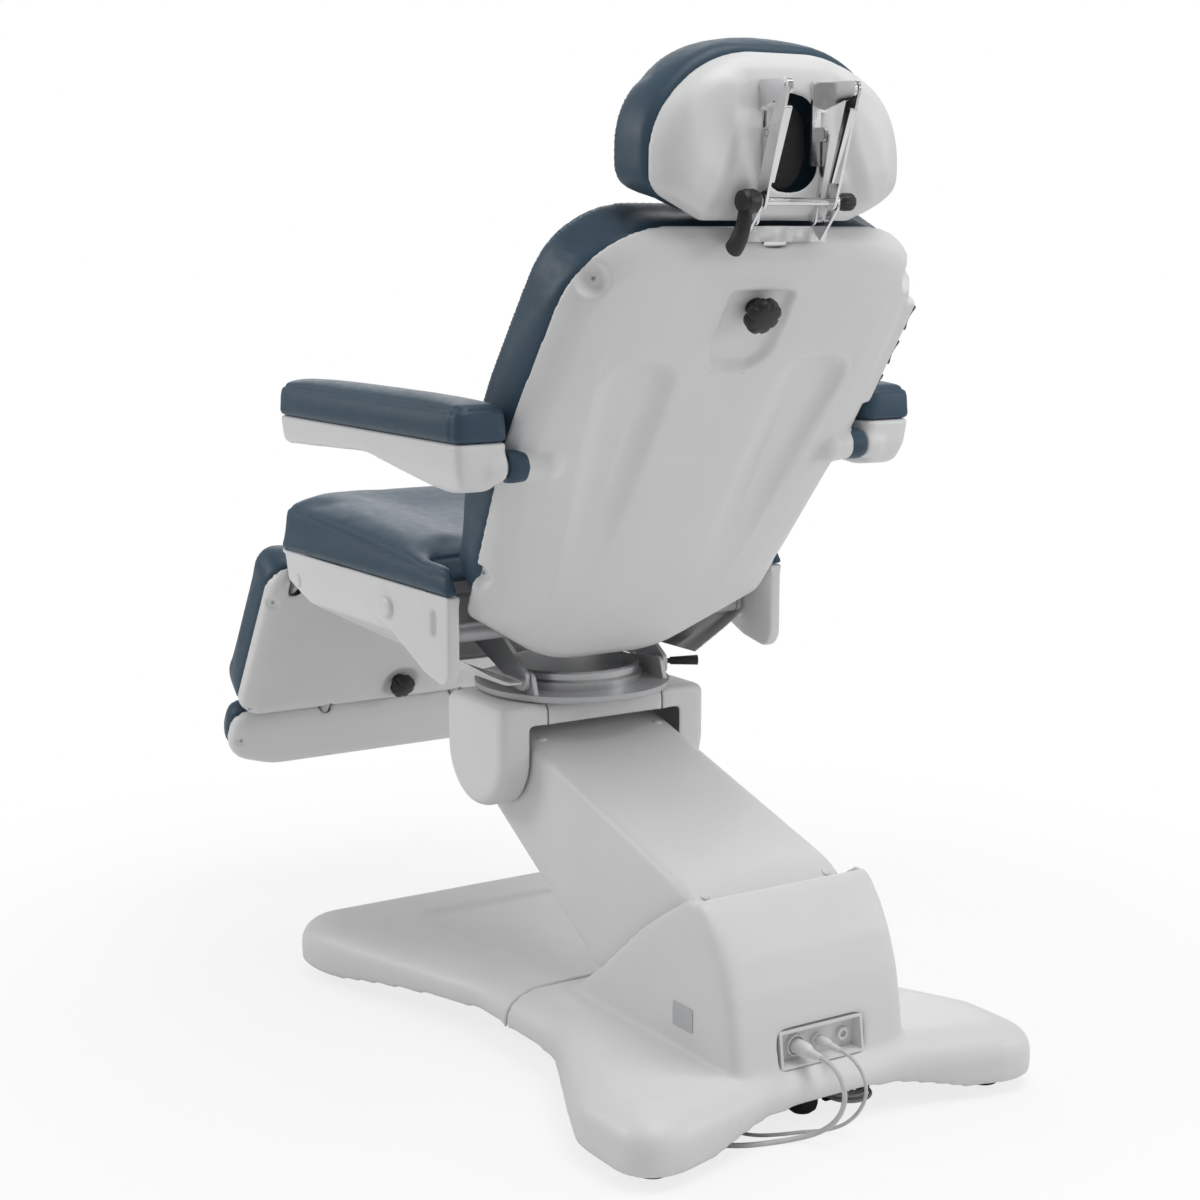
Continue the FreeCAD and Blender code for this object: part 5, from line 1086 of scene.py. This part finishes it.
# %% Fill the opening
PLUG_HALF_W = 0.0415
PLUG_HALF_H = 0.0595
PLUG_RISE = 0.016
OPENING_Z = 1.290


def build_plug():
    """An oval mesh-covered plug in the shell's opening."""
    bm = bmesh.new()
    stand = Matrix.Translation((0, head_low.y, OPENING_Z)) @ Matrix.Rotation(-math.pi / 2, 4, "X")
    oval = Matrix.Diagonal((PLUG_HALF_W, PLUG_HALF_H, 1, 1))
    disc = bmesh.ops.create_circle(bm, cap_ends=True, segments=48, radius=1.0, matrix=stand @ oval)["verts"]
    face = disc[0].link_faces[0]
    top = bmesh.ops.extrude_face_region(bm, geom=[face])["geom"]
    raised = [part for part in top if isinstance(part, bmesh.types.BMVert)]
    bmesh.ops.translate(bm, verts=raised, vec=(0, PLUG_RISE, 0))
    rim = [edge for edge in bm.edges if all(vertex in raised for vertex in edge.verts)]
    soften(bm, rim, 0.005)
    plug = add_object("headrest_plug", close_mesh(bm, "headrest_plug"), "headrest", "upholstery")
    dress(plug, mesh_cloth)
    return plug


plug = build_plug()
print("plug faces", len(plug.data.polygons))

# %% [markdown]
# ## Sleeves and a bare plate
# A dark blue sleeve covers each armrest pin between the armrest and the back. A small satin plate is
# set on the side of the housing, with nothing on it. The sleeve is a spun profile, and the plate is
# a flat block with rounded corners and a fine bevel.

# %% Sleeves and plate
SLEEVE_PROFILE = [(0.62, 0.0), (0.9, 0.0), (0.95, 0.8), (1.0, 1.5), (0.98, 1.9), (0.90, 2.0), (0.62, 2.0)]
SLEEVE_R = 0.0225
PLATE_SPOT = (683, 1017)
PLATE_W = 0.046
PLATE_H = 0.034
PLATE_T = 0.0016

arm_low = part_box("armrest_left_shell")[0]
sleeves = bmesh.new()
for side in (1.0, -1.0):
    start = PIN_AT + X_AXIS * side * (arm_low.x - SLEEVE_R * SLEEVE_PROFILE[-1][1] - 0.001)
    spin_profile(sleeves, SLEEVE_PROFILE, SLEEVE_R, start, X_AXIS * side, 32)
add_object("armrest_sleeves", close_mesh(sleeves, "armrest_sleeves"), "back", "upholstery")

plate_at, plate_out = picture_spot(mouldings["base_rear_cover"], *PLATE_SPOT)
plate_side = UP.cross(plate_out).normalized()
turn = Matrix((plate_side, plate_out.cross(plate_side), plate_out)).transposed().to_4x4()
plate = bmesh.new()
bmesh.ops.create_cube(plate, size=1.0, matrix=Matrix.Diagonal((PLATE_W, PLATE_H, PLATE_T * 2, 1)))
uprights = [edge for edge in plate.edges if abs(edge.verts[0].co.z - edge.verts[1].co.z) > PLATE_T]
soften(plate, uprights, 0.003)
rims = [edge for edge in plate.edges if edge.verts[0].co.z > 0 and edge.verts[1].co.z > 0]
soften(plate, rims, 0.0006, 2)
bmesh.ops.transform(plate, matrix=Matrix.Translation(plate_at) @ turn, verts=plate.verts)
bare_plate = add_object("housing_plate", close_mesh(plate, "housing_plate"), "base", "grey_steel")
bare_plate.data.set_sharp_from_angle(angle=SHARP_FROM)
print("sleeves and plate made")

# %% [markdown]
# ## Floor and light
# A studio sweep is a pale floor and a white surround. The floor is a wide plane. To the camera it glows
# a little, so it stays white, and it keeps a soft shadow. The light is a softbox above and behind, three
# lower ones around the chair, and an even surround. The far one puts the long gleam on the cushions.

# %% Floor, surround and softboxes
FLOOR_SIZE = 14.0
WHITE = (1.0, 1.0, 1.0, 1.0)
SURROUND = 0.37
CAMERA_GLOW = 0.80
SHADOW_NEAR = 0.75
SHADOW_FAR = 1.6


def build_floor():
    """A wide pale floor that keeps a faint shadow."""
    bm = bmesh.new()
    bmesh.ops.create_grid(bm, x_segments=2, y_segments=2, size=FLOOR_SIZE)
    mesh = bpy.data.meshes.new("floor")
    bm.to_mesh(mesh)
    bm.free()
    floor = put_in_scene("floor", mesh)
    material, tree, shader, coords = start_finish(
        "pale_floor", Base_Color=(0.86, 0.86, 0.86, 1.0), Roughness=0.9, Specular_IOR_Level=0.1)
    glow = add_node(tree, "Emission")
    mix = add_node(tree, "MixShader")
    seen = add_node(tree, "LightPath")
    away = add_node(tree, "VectorMath", {"operation": "LENGTH"})
    fade = add_node(tree, "MapRange", {"interpolation_type": "SMOOTHSTEP"}, From_Min=SHADOW_NEAR,
                    From_Max=SHADOW_FAR, To_Min=CAMERA_GLOW, To_Max=1.0)
    part = add_node(tree, "Math", {"operation": "MULTIPLY"})
    tree.links.new(coords, away.inputs[0])
    tree.links.new(away.outputs["Value"], fade.inputs["Value"])
    tree.links.new(fade.outputs["Result"], part.inputs[1])
    tree.links.new(seen.outputs["Is Camera Ray"], part.inputs[0])
    tree.links.new(part.outputs["Value"], mix.inputs["Fac"])
    tree.links.new(shader.outputs["BSDF"], mix.inputs[1])
    tree.links.new(glow.outputs["Emission"], mix.inputs[2])
    tree.links.new(mix.outputs["Shader"], tree.nodes["Material Output"].inputs["Surface"])
    mesh.materials.append(material)


def build_surround():
    """White to the camera, softer as light and in reflections."""
    world = bpy.data.worlds.new("surround")
    scene.world = world
    world.use_nodes = True
    tree = world.node_tree
    light = tree.nodes["Background"]
    set_inputs(light, {"Strength": SURROUND, "Color": WHITE})
    white = add_node(tree, "Background", Color=WHITE)
    path = add_node(tree, "LightPath")
    mix = add_node(tree, "MixShader")
    tree.links.new(path.outputs["Is Camera Ray"], mix.inputs["Fac"])
    tree.links.new(light.outputs["Background"], mix.inputs[1])
    tree.links.new(white.outputs["Background"], mix.inputs[2])
    tree.links.new(mix.outputs["Shader"], tree.nodes["World Output"].inputs["Surface"])


def softbox(name, place, aim, size, power):
    """A square area lamp that looks at a point."""
    data = bpy.data.lights.new(name, "AREA")
    data.size = size
    data.energy = power
    lamp = put_in_scene(name, data)
    lamp.location = place
    lamp.rotation_euler = (Vector(aim) - Vector(place)).to_track_quat("-Z", "Y").to_euler()


build_floor()
build_surround()
softbox("overhead", (-0.6, 1.4, 4.4), (0, 0.1, 0.4), 2.6, 84.0)
softbox("left_front", (2.7, -1.9, 2.3), (0, -0.2, 0.2), 1.6, 37.0)
softbox("far_front", (-1.7, -2.8, 2.2), (0, -0.2, 0.5), 3.0, 34.0)
softbox("right_rear", (-2.6, 2.4, 1.7), (0, 0.2, 0.7), 1.2, 19.0)
scene.view_settings.view_transform = "Standard"
print("floor, surround and 4 softboxes")
